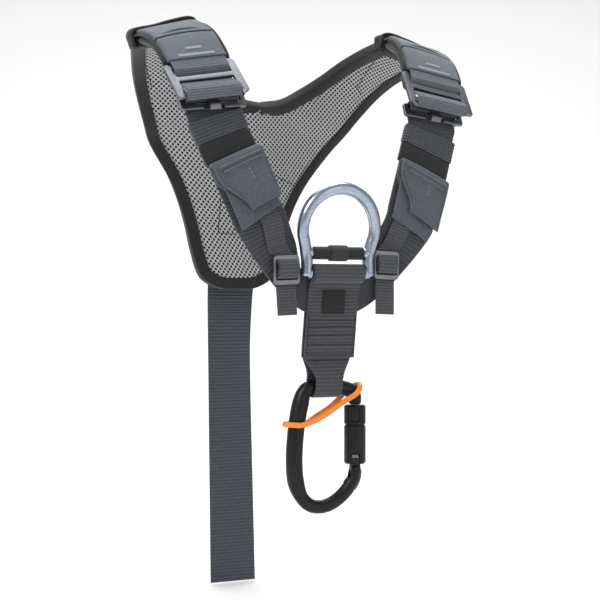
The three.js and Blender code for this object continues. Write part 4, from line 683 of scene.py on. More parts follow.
# The slit between the sleeves bows towards the crest, with a raised strip sewn above it. Below it two
# stitched bars, each at its distance with its width, are joined by slanted seams.
SLIT_BOW, STITCHED_BARS = 2.6, ((50.5, 14), (57.3, 31))
for side, sign in SIDES:
    web = ribbon(f"shoulder_strap_{side}", SHOULDER, sign, web_path, WEB_WIDTH + WEB_FULLER, WEB, shoulder_web,
                 step=0.7, ribs=(3.0, 0.12, 2.5), smooth=False)
    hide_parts(f"shoulder_webbing_{side}")
    half = SLEEVE_WIDTH / 2
    channel = [(-half + 0.5, SLEEVE_BASE), (-half + 0.4, SLEEVE_H - 0.8), (-half + 1.4, SLEEVE_H + 0.35),
               (-half + 3.5, SLEEVE_H + 0.5), (-8, SLEEVE_H + 0.6), (0, SLEEVE_H + 0.6), (8, SLEEVE_H + 0.6),
               (half - 3.5, SLEEVE_H + 0.5), (half - 1.4, SLEEVE_H + 0.35), (half - 0.4, SLEEVE_H - 0.8),
               (half - 0.5, SLEEVE_BASE)]
    sleeve_end = BUCKLE_AT - FRAME_HEIGHT / 2 - 1
    for part, start, end, bow in (("upper", -BAND_WIDTH, SLEEVE_SPLIT - SLEEVE_SLIT / 2, (0, SLIT_BOW)),
                                  ("lower", SLEEVE_SPLIT + SLEEVE_SLIT / 2, sleeve_end, (SLIT_BOW, 0))):
        sleeve = band(f"{part}_cover_{side}", SHOULDER, sign, channel, start, end, TAPE, sleeve_cloth,
                      loop=False, columns=31, bow=bow)
        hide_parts(f"{part}_sleeve_{side}")
    rim_path = [(4.5, 4.6), (20, 5.6), (40, 5.6), (57, 5.2), (61, 3.4)]
    for edge, where in ((1, "outer"), (-1, "inner")):
        tape = ribbon(f"cushion_edge_{side}_{where}", SHOULDER, sign, rim_path, 3.2, 1.5, grosgrain,
                      aside=edge * (PAD_WIDTH / 2 + 0.4), columns=9)
    top = SLEEVE_H + TAPE + 0.15
    for k, (at, wide) in enumerate(STITCHED_BARS):
        bar = ribbon(f"stitched_bar_{side}_{k}", SHOULDER, sign, [(at - 1.2, top), (at, top + 0.1), (at + 1.2, top)],
                     wide, 0.8, pale_thread, step=0.3)
    raised = [(a, SLEEVE_H + h) for a, h in ((-17, 0.8), (-9, 1.5), (0, 1.7), (9, 1.5), (17, 0.8))]
    piping = band(f"sleeve_piping_{side}", SHOULDER, sign, raised, SLEEVE_SPLIT - 7.6, SLEEVE_SPLIT - 4.4, TAPE,
                  sleeve_cloth, loop=False, columns=9, bow=(SLIT_BOW, SLIT_BOW))
    aside = np.linspace(-21, 21, 9)
    for k, (at, bow) in enumerate(((-9.5, 0), (SLEEVE_SPLIT - 3.2, SLIT_BOW), (SLEEVE_SPLIT + 3.2, SLIT_BOW))):
        row = seam_row(f"sleeve_stitching_{side}_{k}", SHOULDER, sign, at - bow * (1 - (aside / half) ** 2), aside,
                       top - 0.05, pale_thread, width=0.5, high=0.2)
    for edge, where in ((1, "outer"), (-1, "inner")):
        bar_s, bar_a = np.array(STITCHED_BARS).T
        row = seam_row(f"bar_stitching_{side}_{where}", SHOULDER, sign, bar_s, edge * bar_a / 2, top - 0.05,
                       pale_thread, width=0.5, high=0.2)

# The spacer mesh is quilted: double-needle outlines on both lobes, a triangle at the strap's end and a
# short line on the other side. Each is drawn through pixels of the photograph and sits on the mesh.
PIXELS_PER_UNIT, QUILT_PITCH = 600 * FOCAL / 36, 1.1
forward, rightward = in_view(0, 1, 0), in_view(1, 0, 0)
eye = np.array(camera.location) * 1000
both_faces = np.concatenate([wearer_face.reshape(-1, 3), (wearer_face * (-1, 1, 1)).reshape(-1, 3)])
wearer_out = -np.repeat(row_out[:, None], YOKE_COLUMNS, 1)
both_out = np.concatenate([wearer_out.reshape(-1, 3), (wearer_out * (-1, 1, 1)).reshape(-1, 3)])
away = (both_faces - eye) @ forward
shown = np.stack([300 + PIXELS_PER_UNIT * ((both_faces - eye) @ rightward) / away,
                  300 - PIXELS_PER_UNIT * (both_faces - eye)[:, 2] / away], -1)


def quilted(name, pixels):
    """A row of stitches through picture points: each takes the average of the six nearest points of
    the mesh face, weighted by one over the distance in the picture."""
    marks = run_of(pixels)
    at = np.arange(0, marks[-1], QUILT_PITCH)
    spots = np.stack([np.interp(at, marks, np.array(pixels, float)[:, k]) for k in range(2)], -1)
    gap = np.linalg.norm(spots[:, None] - shown[None], axis=-1)
    near_by = np.argsort(gap, 1, kind="stable")[:, :6]
    weight = 1 / (np.take_along_axis(gap, near_by, 1) + 0.05)
    weight = (weight / weight.sum(1, keepdims=True))[..., None]
    centres = (both_faces[near_by] * weight).sum(1)
    out = unit((both_out[near_by] * weight).sum(1))
    row = stitches(name, centres + out * 0.1, unit(np.gradient(centres, axis=0)), out, dark_thread,
                   length=1.5, width=0.8, high=0.3)


quilted("quilting_left_lobe", [(141, 44.7), (146, 66), (151.5, 87), (158.7, 82)])
quilted("quilting_right_lobe", [(345, 75.5), (366, 58), (385.9, 44.2)])
quilted("quilting_right_notch", [(385.9, 44.2), (371, 66), (356.5, 87.6), (361.6, 94)])
quilted("quilting_triangle", [(221, 196), (218, 233), (236, 234)])
quilted("quilting_short", [(275.5, 176), (294.6, 186)])

# ---- Crest bands: a rolled black tape that crosses each shoulder over the sleeve, sewn down beside the
# pad on both sides. It stands a little off the sleeve, like a carrying tab.
low = SLEEVE_H + TAPE + 5 * GAP
rim = PAD_WIDTH / 2 + TAPE_GAP + 3 * TAPE + GAP
crest_line = np.array([(rim, -HALF_PAD), (rim, 2), (rim, low - 3), (rim - 3, low), (8, low + 0.4), (-8, low + 1.4),
                       (-rim + 5, low + 1), (-rim, low - 2), (-rim, 2), (-rim, -HALF_PAD)])
for side, sign in SIDES:
    line, normal, _ = path_run(crest_line, 0.8)
    crest = band(f"crest_tape_{side}", SHOULDER, sign, line + normal * BAND_THICK / 2, -0.65 * BAND_WIDTH,
                 0.35 * BAND_WIDTH, BAND_THICK, grosgrain, loop=False, columns=21, smooth=False)
    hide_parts(f"crest_band_{side}")

# ---- Buckles: a stamped steel frame and the plate that hooks behind it, zinc plated and tumbled, so
# their edges are rounded and the faces show fine scratches.


def ground_copy(name, node, bevel, material, body="harness", shape=None):
    """A merged copy of a CAD solid with its edges rolled over by a bevel modifier; shape, if given,
    maps the array of its points in millimetres to new ones."""
    mesh = nodes[node].data.copy()
    mesh.name = name
    mesh.materials.clear()
    mesh.materials.append(material)
    weld(mesh, 2e-6, turn_out=False)
    if shape:
        points = np.empty(len(mesh.vertices) * 3, np.float32)
        mesh.vertices.foreach_get("co", points)
        mesh.vertices.foreach_set("co", (shape(points.reshape(-1, 3) * 1000.0) / 1000).ravel())
    piece = bpy.data.objects.new(name, mesh)
    scene.collection.objects.link(piece)
    rounding = piece.modifiers.new("rolled_edges", "BEVEL")
    rounding.width = bevel / 1000
    rounding.segments = 3
    rounding.limit_method = "ANGLE"
    rounding.angle_limit = math.radians(35)
    rounding.harden_normals = False
    mesh.polygons.foreach_set("use_smooth", [True] * len(mesh.polygons))
    mesh.set_sharp_from_angle(angle=math.radians(60))
    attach(piece, body)
    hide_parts(node)
    return piece


def brushed_metal(name, dark, light, rough, grain, metallic=1.0, tumble=0.15):
    """Metal with scratches stretched along X, about 1 mm by 8 mm, drawn coarse enough to show, and
    patches about 11 mm across where tumbling left it duller."""
    material, tree, shader = new_material(name, Metallic=metallic)
    place = add(tree, "TexCoord").outputs["Object"]
    stretched = add(tree, "Mapping", {0: place, "Scale": (60, 400, 400)}).outputs[0]
    scratch = add(tree, "TexNoise", {"Vector": stretched, "Scale": grain, "Detail": 4}).outputs[0]
    patch = add(tree, "TexNoise", {"Vector": place, "Scale": 90, "Detail": 3}).outputs[0]
    half_patch = add(tree, "Math", {0: patch, 1: 0.5}, operation="MULTIPLY").outputs[0]
    tone = add(tree, "Math", {0: scratch, 1: 0.5, 2: half_patch}, operation="MULTIPLY_ADD").outputs[0]
    tint = add(tree, "MixRGB", {0: tone, 1: linear(dark), 2: linear(light)})
    worn = add(tree, "Math", {0: patch, 1: tumble, 2: rough}, operation="MULTIPLY_ADD").outputs[0]
    bump = add(tree, "Bump", {"Height": scratch, "Strength": 0.08, "Distance": 0.0002})
    tree.links.new(tint.outputs[0], shader.inputs["Base Color"])
    tree.links.new(worn, shader.inputs["Roughness"])
    tree.links.new(bump.outputs[0], shader.inputs["Normal"])
    return material


# Zinc-plated steel: a cool light grey that mirrors only softly.
plated_steel = brushed_metal("zinc_plated_steel", "#56575d", "#85868d", 0.3, 2.0)


def forged_arms(sign):
    """The frame's arms drawn in as a forging: beyond the window the side distance is shared down to
    four fifths, and below the roll bar the length down to two fifths."""
    middle, below = spot(SHOULDER, sign, BUCKLE_AT, 0, FRAME_H), spot(SHOULDER, sign, BUCKLE_AT + 1, 0, FRAME_H)
    down, side = unit(below - middle), unit(spot(SHOULDER, sign, BUCKLE_AT, 1, FRAME_H) - middle)

    def shape(points):
        a, s = (points - middle) @ side, (points - middle) @ down
        out = np.clip(np.abs(a) - 23.4, 0, None)
        low = np.clip(s - 14, 0, None) * (out > 0)
        return points - side * (np.sign(a) * out * 0.2)[:, None] - down * (low * 0.6)[:, None]

    return shape


for side, sign in SIDES:
    buckle = ground_copy(f"buckle_{side}", f"buckle_frame_{side}", 0.7, plated_steel, shape=forged_arms(sign))
    hook_plate = ground_copy(f"buckle_hook_{side}", f"buckle_plate_{side}", 0.6, plated_steel)

# ---- Chest straps: charcoal 45 mm webbing with bold cross ribs, looped round the hook plate and led
# down and inwards behind the centre panel. It follows one line that turns from the buckle's tilt.
PLATE_THICK, PLATE_BAR, PLATE_TILT = 3, 2.5, math.radians(29)
PLATE_TOP_Y, PLATE_TOP_Z = -62.3, -65
CHEST_BEND_Z, CHEST_SLOPE = -81, math.radians(19)
CHEST_LOW = np.array([66, -83.5, -163])
TUCK_AT, TUCK_WIDTH = 7, 27
PANEL_LEAN, PANEL_TOP = math.radians(8.7), np.array([0, -76.5, -213])
panel_down = np.array([0, math.sin(PANEL_LEAN), -math.cos(PANEL_LEAN)])
across_x = np.array([1.0, 0, 0])
plate_down = np.array([0, -math.sin(PLATE_TILT), -math.cos(PLATE_TILT)])
plate_front = np.array([0, -math.cos(PLATE_TILT), math.sin(PLATE_TILT)])
behind = PLATE_THICK / 2 + GAP + WEB + GAP + WEB / 2
top = np.array([0, PLATE_TOP_Y, PLATE_TOP_Z]) - plate_front * behind - plate_down * 1.5 * WEB
bend = top + plate_down * (top[2] - CHEST_BEND_Z) / math.cos(PLATE_TILT)
top[0] = CHEST_LOW[0] + (top[2] - CHEST_LOW[2]) * math.tan(CHEST_SLOPE)
bend[0] = top[0] - (top[2] - bend[2]) * math.tan(BUCKLE_SLOPE)
shares = np.array([0.05, 0.2, 0.35, 0.5, 0.65, 0.8, 0.9])


def side_at(angle):
    """Sideways direction that drops outwards by an angle: cosine across, sine down."""
    return np.stack([np.cos(angle), 0 * angle, -np.sin(angle)], -1)


chest_middles = np.vstack([
    top, bend, mix(bend, CHEST_LOW, shares[:, None]), CHEST_LOW,
    (0.76 * CHEST_LOW[0], PANEL_TOP[1] - 3, CHEST_LOW[2] - 24),
    PANEL_TOP + panel_down * TUCK_AT + across_x * (WEB_WIDTH / 2 + 1),
    PANEL_TOP + panel_down * (TUCK_AT + 1) + across_x * WEB_WIDTH / 9,
])
chest_sides = np.vstack([
    side_at(np.array([BUCKLE_SLOPE, BUCKLE_SLOPE])), side_at(mix(BUCKLE_SLOPE, CHEST_SLOPE, shares)),
    side_at(np.array([CHEST_SLOPE])), (0.78, 0, -0.62), panel_down, panel_down,
])
CHEST = make_course(chest_middles, chest_sides)
CHEST_END = CHEST["marks"][-1]
hook = WEB + GAP + WEB / 2 + GAP + PLATE_THICK / 2
bar_at = 1.5 * WEB + PLATE_BAR / 2
wrap = math.hypot(PLATE_BAR / 2, PLATE_THICK / 2) + GAP + WEB / 2
hook_angle = np.radians(np.linspace(-12, 235, 16))
chest_path = np.array([
    (bar_at + wrap + 6, WEB + GAP), (bar_at + wrap + 2.2, WEB + GAP), (bar_at + wrap + 0.9, WEB + GAP + 0.5),
    *np.stack([bar_at + wrap * np.cos(hook_angle), hook + wrap * np.sin(hook_angle)], -1),
    (bar_at + 0.6, 0.3), (bar_at + 4, 0), (CHEST_END, 0),
])
knee, tuck = CHEST["marks"][-4], CHEST["marks"][-2]


def chest_width(s):
    """Full width down to the knee, then folded evenly narrower towards the tuck behind the panel."""
    return mix(WEB_WIDTH, TUCK_WIDTH, np.clip((s - knee) / (tuck - knee), 0, 1))


# Chest webbing: solution-dyed polyester, charcoal with a cool cast and a dull sheen from its roughness; each rib's
# crest is also painted lighter (painted highlight).
chest_web = ribbed_cloth("chest_webbing", "#25272c", "#3c3e44", rib=3.0, thread=1.4, rough=0.7)
for side, sign in SIDES:
    tongue = ribbon(f"buckle_tongue_{side}", CHEST, sign, [(8, 6.9), (10.5, 8.9), (13.8, 9.4), (16.4, 7.0)], 9.5,
                    1.6, plated_steel, step=0.5, columns=11)
    strap = ribbon(f"chest_strap_{side}", CHEST, sign, chest_path, chest_width, WEB, chest_web,
                   step=0.6, ribs=(3.0, 0.14, 2.5), smooth=False, columns=15)
    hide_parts(f"chest_webbing_{side}")

# ---- Keepers, elastics and tail pouches: on each chest strap a keeper folded from ribbed cloth, a plain
# knitted elastic, and a two-layer pocket of cloth whose flap hangs in a V that is stitched along its edge.
KEEPER_LENGTH, KEEPER_THICK, ELASTIC_LENGTH, ELASTIC_THICK = 17.5, 1.8, 16.5, 1.2
POUCH_LENGTH, POUCH_WIDTH, POUCH_HEM, POUCH_DEPTH, POUCH_THICK, POUCH_BASE_DROP = 43, 47, 39, 6.5, 2.2, 9
FLAP_END, FLAP_LEAN = 29, 8
KEEPER_AT = {"left": 24.6, "right": 18.6}
HITCH = 0.22  # the keepers and pockets hang down towards the outer edge
POUCH_AT = {"left": 61, "right": 53.5}
# Keeper twill: coarse ribs that catch the light, their crests also painted lighter (painted highlight), mid grey.
# Elastic: a dense matt knit, near black.
# Pouch twill: blue-grey polyester with fine ribs and a faint shine.
keeper_cloth = ribbed_cloth("keeper_twill", "#26292e", "#454950", rib=2.6, thread=1.6, rough=0.75)
elastic_knit = woven_cloth("elastic_knit", "#0f1011", "#1b1c1e", thread=0.9, rough=0.9, depth=0.25)
pouch_cloth = ribbed_cloth("pouch_twill", "#33383f", "#575d66", rib=1.5, thread=1.0, rough=0.65)


def hoop_line(half, hug, thick):
    """Closed rounded line round a strap, half its own thickness outside the strap's clearance."""
    a, h = half + thick / 2, hug + thick / 2
    return round_line([(-a, -h), (a, -h), (a, h), (-a, h)], 1.3)


for side, sign in SIDES:
    half, hug = WEB_WIDTH / 2 + GAP, WEB / 2 + GAP
    start, end = KEEPER_AT[side], KEEPER_AT[side] + KEEPER_LENGTH
    keeper = band(f"strap_keeper_{side}", CHEST, sign, hoop_line(half, hug, KEEPER_THICK), start, end,
                  KEEPER_THICK, keeper_cloth, ribs=(2.6, 0.22, 0.8), columns=41, smooth=False, slant=HITCH)
    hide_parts(f"keeper_{side}")
    start = end + 1
    end = min(start + ELASTIC_LENGTH, POUCH_AT[side] - 1.5)
    elastic = band(f"strap_elastic_{side}", CHEST, sign, hoop_line(half, hug, ELASTIC_THICK), start, end,
                   ELASTIC_THICK, elastic_knit, columns=15, smooth=False, slant=HITCH)
    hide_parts(f"elastic_{side}")
    low = WEB / 2 + GAP + POUCH_THICK / 2
    fold = POUCH_DEPTH / 2
    at = POUCH_AT[side]
    angle = np.radians(np.linspace(270, 90, 9))
    fold_top = at + fold
    flap = np.array([
        (at + POUCH_LENGTH - 4, low),
        *np.stack([fold_top + fold * np.cos(angle), low + fold + fold * np.sin(angle)], -1),
        (at + POUCH_LENGTH - 7, low + POUCH_DEPTH), (at + POUCH_LENGTH, low + POUCH_DEPTH - 0.9),
    ])

    def flap_width(s):
        """The flap narrows smoothly from its fold to its lower end."""
        return mix(POUCH_WIDTH, FLAP_END, ease(fold_top + 6, at + POUCH_LENGTH, s))

    def flap_drift(s):
        """It leans to the outer side as smoothly."""
        return sign * FLAP_LEAN * ease(fold_top + 6, at + POUCH_LENGTH, s)

    pouch = ribbon(f"tail_pouch_{side}", CHEST, sign, flap, flap_width, POUCH_THICK, pouch_cloth, smooth=False,
                   columns=21, aside=flap_drift, slant=HITCH, crown=0.9)
    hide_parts(f"pouch_{side}")
    inner = low + POUCH_THICK + 2 * GAP
    hem = at + POUCH_LENGTH + POUCH_BASE_DROP
    lining = ribbon(f"pouch_lining_{side}", CHEST, sign, [(fold_top, inner), (hem - 10, inner), (hem, inner - GAP)],
                    POUCH_HEM, POUCH_THICK - 0.6, pouch_cloth, smooth=False, columns=15, slant=HITCH)
    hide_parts(f"pouch_base_{side}")
    top = low + POUCH_DEPTH + POUCH_THICK / 2 + 0.1
    for k, (down, wide) in enumerate(((5.5, 40), (9.5, 36))):
        ridge = [(at + down - 1.6, top + 0.3), (at + down, top + 1.4), (at + down + 1.6, top + 0.3)]
        pleat = ribbon(f"pouch_pleat_{side}_{k}", CHEST, sign, ridge, wide, 1.1, pouch_cloth, step=0.4, slant=HITCH,
                       aside=sign * 0.6 * k)
    edge_s = np.linspace(at + 12, at + POUCH_LENGTH - 3, 12)
    edge_h = top + 0.1 - 0.6 * (edge_s > at + POUCH_LENGTH - 8)
    for turn, where in ((1, "outer"), (-1, "inner")):
        edge_a = turn * (flap_width(edge_s) / 2 - 2.4)
        row = seam_row(f"pouch_stitching_{side}_{where}", CHEST, sign, edge_s + HITCH * edge_a,
                       edge_a + flap_drift(edge_s), edge_h, dark_thread, width=0.6, high=0.25)
    row = seam_row(f"pouch_tab_seam_{side}", CHEST, sign, [at + 13, at + 22], [sign * 4.5, sign * 5.5], top + 0.85,
                   pale_thread, width=0.6, high=0.3)

# ---- Adjusters: a small three-bar slide in nickel-plated steel on a narrow ribbed strap, which comes
# from under the pouch, threads over the slide's bar and hangs as a short free tail.
ADJUSTER = np.array([44.8, -84.5, -197.5])
ADJUSTER_HEIGHT, ADJUSTER_THICK, SLOT_AT = 23, 2.4, 4.6
NARROW_WIDTH, NARROW_THICK = 17, 1.5
ADJUSTER_UP = {"left": 2.5, "right": -2}
TAIL = {"left": 29, "right": 25}
# Nickel-plated steel: warmer and a shade darker than the zinc. Narrow webbing: charcoal, fine even ribs.
nickel_steel = brushed_metal("nickel_plated_steel", "#5c5d5e", "#929497", 0.28, 2.5)
narrow_web = ribbed_cloth("narrow_webbing", "#2c2e33", "#484a50", rib=2.4, thread=1.2, rough=0.7)
for side, sign in SIDES:
    z = ADJUSTER[2] + ADJUSTER_UP[side]
    half = ADJUSTER_HEIGHT / 2
    start = spot(CHEST, 1, POUCH_AT[side] + POUCH_LENGTH - 2, -4, WEB / 2 + GAP + NARROW_THICK / 2)
    knee_at = spot(CHEST, 1, knee + 2, -7, WEB / 2 + 4 * GAP + NARROW_THICK / 2)
    narrow = make_course(
        [start, knee_at, (mix(ADJUSTER[0], start[0], 0.25), ADJUSTER[1] + 0.4, z + half + 3),
         (ADJUSTER[0], ADJUSTER[1], z + half - 2), (ADJUSTER[0] - 0.6, ADJUSTER[1], z - half),
         (ADJUSTER[0] - 1.5, ADJUSTER[1] + 0.6, z - half - TAIL[side])],
        [(0.95, 0, -0.31), (0.95, 0, -0.31), (0.97, 0, -0.24), (1, 0, -0.04), (1, 0, -0.04), (1, 0, -0.04)])
    middle = (narrow["marks"][3] + narrow["marks"][4]) / 2
    reach = ADJUSTER_THICK / 2 + 1.5 * GAP + NARROW_THICK / 2
    upper, lower = middle - SLOT_AT, middle + SLOT_AT
    threaded = np.array([
        (0, 0), (narrow["marks"][1], 0), (upper - 5.5, -reach + 0.2), (upper - 1.7, -reach), (upper + 1.7, reach),
        (lower - 1.7, reach), (lower + 1.7, -reach), (lower + 6, -reach), (narrow["marks"][-1], 0),
    ])
    strap = ribbon(f"narrow_strap_{side}", narrow, sign, threaded, NARROW_WIDTH, NARROW_THICK, narrow_web,
                   step=0.5, ribs=(2.4, 0.12, 1.2), smooth=False, columns=11)
    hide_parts(f"adjuster_strap_{side}")
    hump = np.radians(np.linspace(-25, 205, 14))
    over = np.stack([middle - 6.4 * np.cos(hump), 0.6 + 5.0 * np.sin(hump)], -1)
    roll_over = ribbon(f"narrow_roll_{side}", narrow, sign, over, NARROW_WIDTH, 1.3, narrow_web, step=0.5,
                       ribs=(2.4, 0.12, 1.2), smooth=False, columns=11)
    slide = ground_copy(f"slide_{side}", f"adjuster_{side}", 0.5, nickel_steel)

# ---- Ring: forged aluminium, an arch whose legs draw in and are joined by two crossbars, polished and
# anodised a cool silver. The joints between bars and legs are blended round.
RING_Y, ARC_Z, RING_RADIUS, RING_ROD, RING_CROWN = -85.5, -168, 31.8, 9.4, 10.4
LEG, LEG_END_Z, BAR_Z = 54.5 / 2, -206, (-187, -203)


def tube(name, line, radii, material, sides=28, loop=False, body="harness", cap=0.0):
    """Round rod along a line: each station's circle lies square to the line, in axes taken from the
    plane of constant y. cap mm at both ends close in as a quarter circle."""
    line, radii = np.asarray(line, float), np.broadcast_to(radii, (len(line),)).astype(float)
    ahead = np.roll(line, -1, 0) - np.roll(line, 1, 0) if loop else np.gradient(line, axis=0)
    ahead = unit(ahead)
    across = unit(np.cross((0, 1, 0), ahead))
    up = np.cross(ahead, across)
    run = run_of(line)
    if cap:
        left = np.minimum(run, run[-1] - run)
        radii = radii - cap + np.sqrt(np.clip(cap**2 - np.clip(cap - left, 0, cap) ** 2, 0, None))
    angle = np.linspace(0, 2 * math.pi, sides, endpoint=False)
    circle = np.cos(angle)[None, :, None] * across[:, None] + np.sin(angle)[None, :, None] * up[:, None]
    rings = line[:, None] + radii[:, None, None] * circle
    if loop:
        run = np.concatenate([run, [run[-1] + np.linalg.norm(line[0] - line[-1])]])
    girth = np.linspace(0, 2 * math.pi, sides + 1) * radii.mean()
    uv = np.stack(np.broadcast_arrays(girth[None], run[:, None]), -1)
    return skin(name, rings, uv, material, body, loop=loop)


turn = math.asin(LEG / RING_RADIUS)
leg_top = ARC_Z - RING_RADIUS * math.cos(turn)
sweep = np.linspace(-math.pi + turn, math.pi - turn, 61)[2:-2]
arch = np.stack([RING_RADIUS * np.sin(sweep), 0 * sweep + RING_Y, ARC_Z + RING_RADIUS * np.cos(sweep)], -1)
legs = [(-LEG, RING_Y, z) for z in (LEG_END_Z, LEG_END_Z + 0.8, LEG_END_Z + 2.4, LEG_END_Z + 7, leg_top - 7)]
ring_knots = np.vstack([legs, arch[::4], np.array(legs)[::-1] * (-1, 1, 1)])
ring_line, _ = along(curve(ring_knots, np.linspace(0, len(ring_knots) - 1, 600)), 0.8)
ARCH_LEAN, ARCH_RISE = 8, 56  # the arch leans forward by this much over this height
ring_line[:, 1] -= ARCH_LEAN * np.clip((ring_line[:, 2] - BAR_Z[0]) / ARCH_RISE, 0, 1)
crown = np.clip((ring_line[:, 2] - ARC_Z) / RING_RADIUS, 0, 1)
# Silver-anodised aluminium: smooth and bluish, with sharp highlights along the rod.
ring_metal = brushed_metal("anodised_aluminium_silver", "#5d6a82", "#d0d9e6", 0.19, 1.5, tumble=0.1)
ring = tube("omega_ring", ring_line, mix(RING_ROD, RING_CROWN, crown) / 2, ring_metal, cap=2.4)
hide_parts("ring")
for k, z in enumerate(BAR_Z):
    x = np.linspace(-LEG, LEG, 60)
    bar = tube(f"ring_crossbar_{k}", np.stack([x, 0 * x + RING_Y, 0 * x + z], -1),
               BAR_ROD / 2 + 1.4 * ease(LEG - 7.5, LEG - 3, np.abs(x)) ** 2, ring_metal)

# ---- Ring wrap and marker band: a sleeve of webbing sewn into a roll on the upper crossbar, and a blank
# woven band round its middle.
WRAP_THICK, MARKER_WIDTH = 1.8, 15


def roll_on_bar(name, z, inner, wall, length, material):
    """Hollow roll: a closed profile (inner wall, and an outer wall whose ends draw in as the root of
    one less an eased cube) turned round the crossbar's line along x."""
    x = np.linspace(-length / 2, length / 2, max(int(length / 0.6), 12))
    draw_in = 0.6 * ease(length / 2 - 0.9, length / 2, np.abs(x)) ** 3
    outer = np.stack([x, inner + wall * np.sqrt(1 - draw_in)], -1)
    bore = np.stack([x[::-1], np.full(len(x), inner)], -1)
    section = np.vstack([outer, bore])
    angle = np.linspace(0, 2 * math.pi, 40, endpoint=False)
    rings = np.stack(np.broadcast_arrays(section[None, :, 0], RING_Y + section[None, :, 1] * np.sin(angle)[:, None],
                                         z + section[None, :, 1] * np.cos(angle)[:, None]), -1)
    girth = np.linspace(0, 2 * math.pi, 41) * (inner + wall)
    u = np.concatenate([section[:, 0], section[:1, 0]])
    uv = np.stack(np.broadcast_arrays(u[None], girth[:, None]), -1)
    return skin(name, rings, uv, material, loop=True)


# Marker band: the same black family of tape as the wrap, a little lighter, and left blank.
marker_tape = ribbed_cloth("marker_tape", "#1d1e20", "#323436", rib=1.2, thread=0.9)
wrap_piece = roll_on_bar("crossbar_wrap", BAR_Z[0], BAR_ROD / 2 + GAP, WRAP_THICK, WEB_WIDTH - 1, elastic_knit)
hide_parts("ring_wrap")
marker = roll_on_bar("crossbar_marker", BAR_Z[0], BAR_ROD / 2 + 2 * GAP + WRAP_THICK, TAPE, MARKER_WIDTH, marker_tape)
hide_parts("marker_band")

# ---- Centre panel: webbing folded round the lower crossbar and sewn flat over the chest straps' ends,
# with rows of stitching and a small blank patch; below it the loop that carries the connector.
PANEL_LENGTH, PATCH_SIDE, PATCH_THICK, PATCH_AT = 59, 20, 0.8, 2.5
ROD_AT, TOP_ROD, ROD_PLAY, LOOP_NECK = 83, 12, 1.9, 24
LAYER_H = WEB + GAP
PANEL = make_course(PANEL_TOP + panel_down * np.array([[0], [40], [ROD_AT + 30]]), np.repeat([across_x], 3, 0))
to_bar = np.array([0, RING_Y, BAR_Z[1]]) - PANEL_TOP
bar_s, bar_h = to_bar @ panel_down, to_bar @ PANEL["n"][0]
angle = np.radians(np.linspace(215, 10, 20))
wrap = BAR_ROD / 2 + GAP + WEB / 2
panel_path = np.array([(PANEL_LENGTH, -LAYER_H), (1, -LAYER_H), (bar_s + 3.5, -LAYER_H + 0.2),
                       *np.stack([bar_s + wrap * np.cos(angle), bar_h + wrap * np.sin(angle)], -1),
                       (bar_s + 7, LAYER_H + 2.6), (3, LAYER_H), (PANEL_LENGTH, LAYER_H)])
# Panel webbing: charcoal polyester with bold ribs, a shade lighter and less blue than the chest straps.
panel_web = ribbed_cloth("panel_webbing", "#2a2c30", "#44464c", rib=3.0, thread=1.4, rough=0.72)
panel = ribbon("centre_panel", PANEL, 1, panel_path, WEB_WIDTH, WEB, panel_web, step=0.6, ribs=(3.0, 0.1, 2.5),
               smooth=False)
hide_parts("centre_webbing")
lower_roll = roll_on_bar("panel_roll", BAR_Z[1], BAR_ROD / 2 + GAP + WEB + 0.1, 2.1, WEB_WIDTH - 1.4, panel_web)
face_h = LAYER_H + WEB / 2
patch_path = [(PATCH_AT, face_h + GAP + PATCH_THICK / 2), (PATCH_AT + PATCH_SIDE, face_h + GAP + PATCH_THICK / 2)]
patch = ribbon("blank_patch", PANEL, 1, patch_path, PATCH_SIDE, PATCH_THICK, grosgrain, step=0.5, smooth=False)
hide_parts("label_patch")
for k, s in enumerate((28, 33, 39, 47.5, 56)):
    row = seam_row(f"panel_stitching_{k}", PANEL, 1, [s, s], [-20.5, 20.5], face_h + 0.15, dark_thread,
                   pitch=2.8, length=2.4, width=0.8)
for side, sign in SIDES:
    row = seam_row(f"panel_edge_stitching_{side}", PANEL, 1, [25, 57], [sign * 20.8] * 2, face_h + 0.15, dark_thread,
                   pitch=2.8, length=2.4, width=0.8)
rod = TOP_ROD / 2 + ROD_PLAY + WEB / 2
back = -2 * LAYER_H
angle = np.radians(np.linspace(90, -90, 18))
loop_path = np.array([(PANEL_LENGTH - 24, 0), (PANEL_LENGTH + 1.5, 0), (ROD_AT - 9, back / 2 + rod - 0.5),
                      *np.stack([ROD_AT + GAP - ROD_PLAY + rod * np.cos(angle), back / 2 + rod * np.sin(angle)], -1),
                      (ROD_AT - 9, back / 2 - rod + 0.5), (PANEL_LENGTH + 1.5, back), (PANEL_LENGTH - 24, back)])


def neck_width(s):
    """The loop is pressed from nearly full width under the panel to a neck at the connector."""
    return mix(WEB_WIDTH - 2, LOOP_NECK, ease(PANEL_LENGTH - 4, ROD_AT - 6, s))


loop = ribbon("connector_sling", PANEL, 1, loop_path, neck_width, WEB, panel_web, step=0.6, ribs=(3.0, 0.1, 2.5),
              smooth=False)
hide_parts("connector_loop")

# ---- Connector: an oval carabiner in hot-forged aluminium, anodised satin black, with a hinged gate on
# a steel pin and a twist sleeve round the gate that has a waist and a small window.
ROD = PANEL_TOP + panel_down * ROD_AT - PANEL["n"][0] * LAYER_H
CONNECTOR_HEIGHT, CONNECTOR_WIDTH = 107, 54.8
GATE_X = CONNECTOR_WIDTH / 2 + 0.6
HINGE_Z = ROD[2] - 69
SLEEVE_TOP_Z = HINGE_Z + 7 + 47.6
rods = {"gate": 10, "top": 12, "spine": 13.6, "bottom": 11, "knuckle": 9.6}
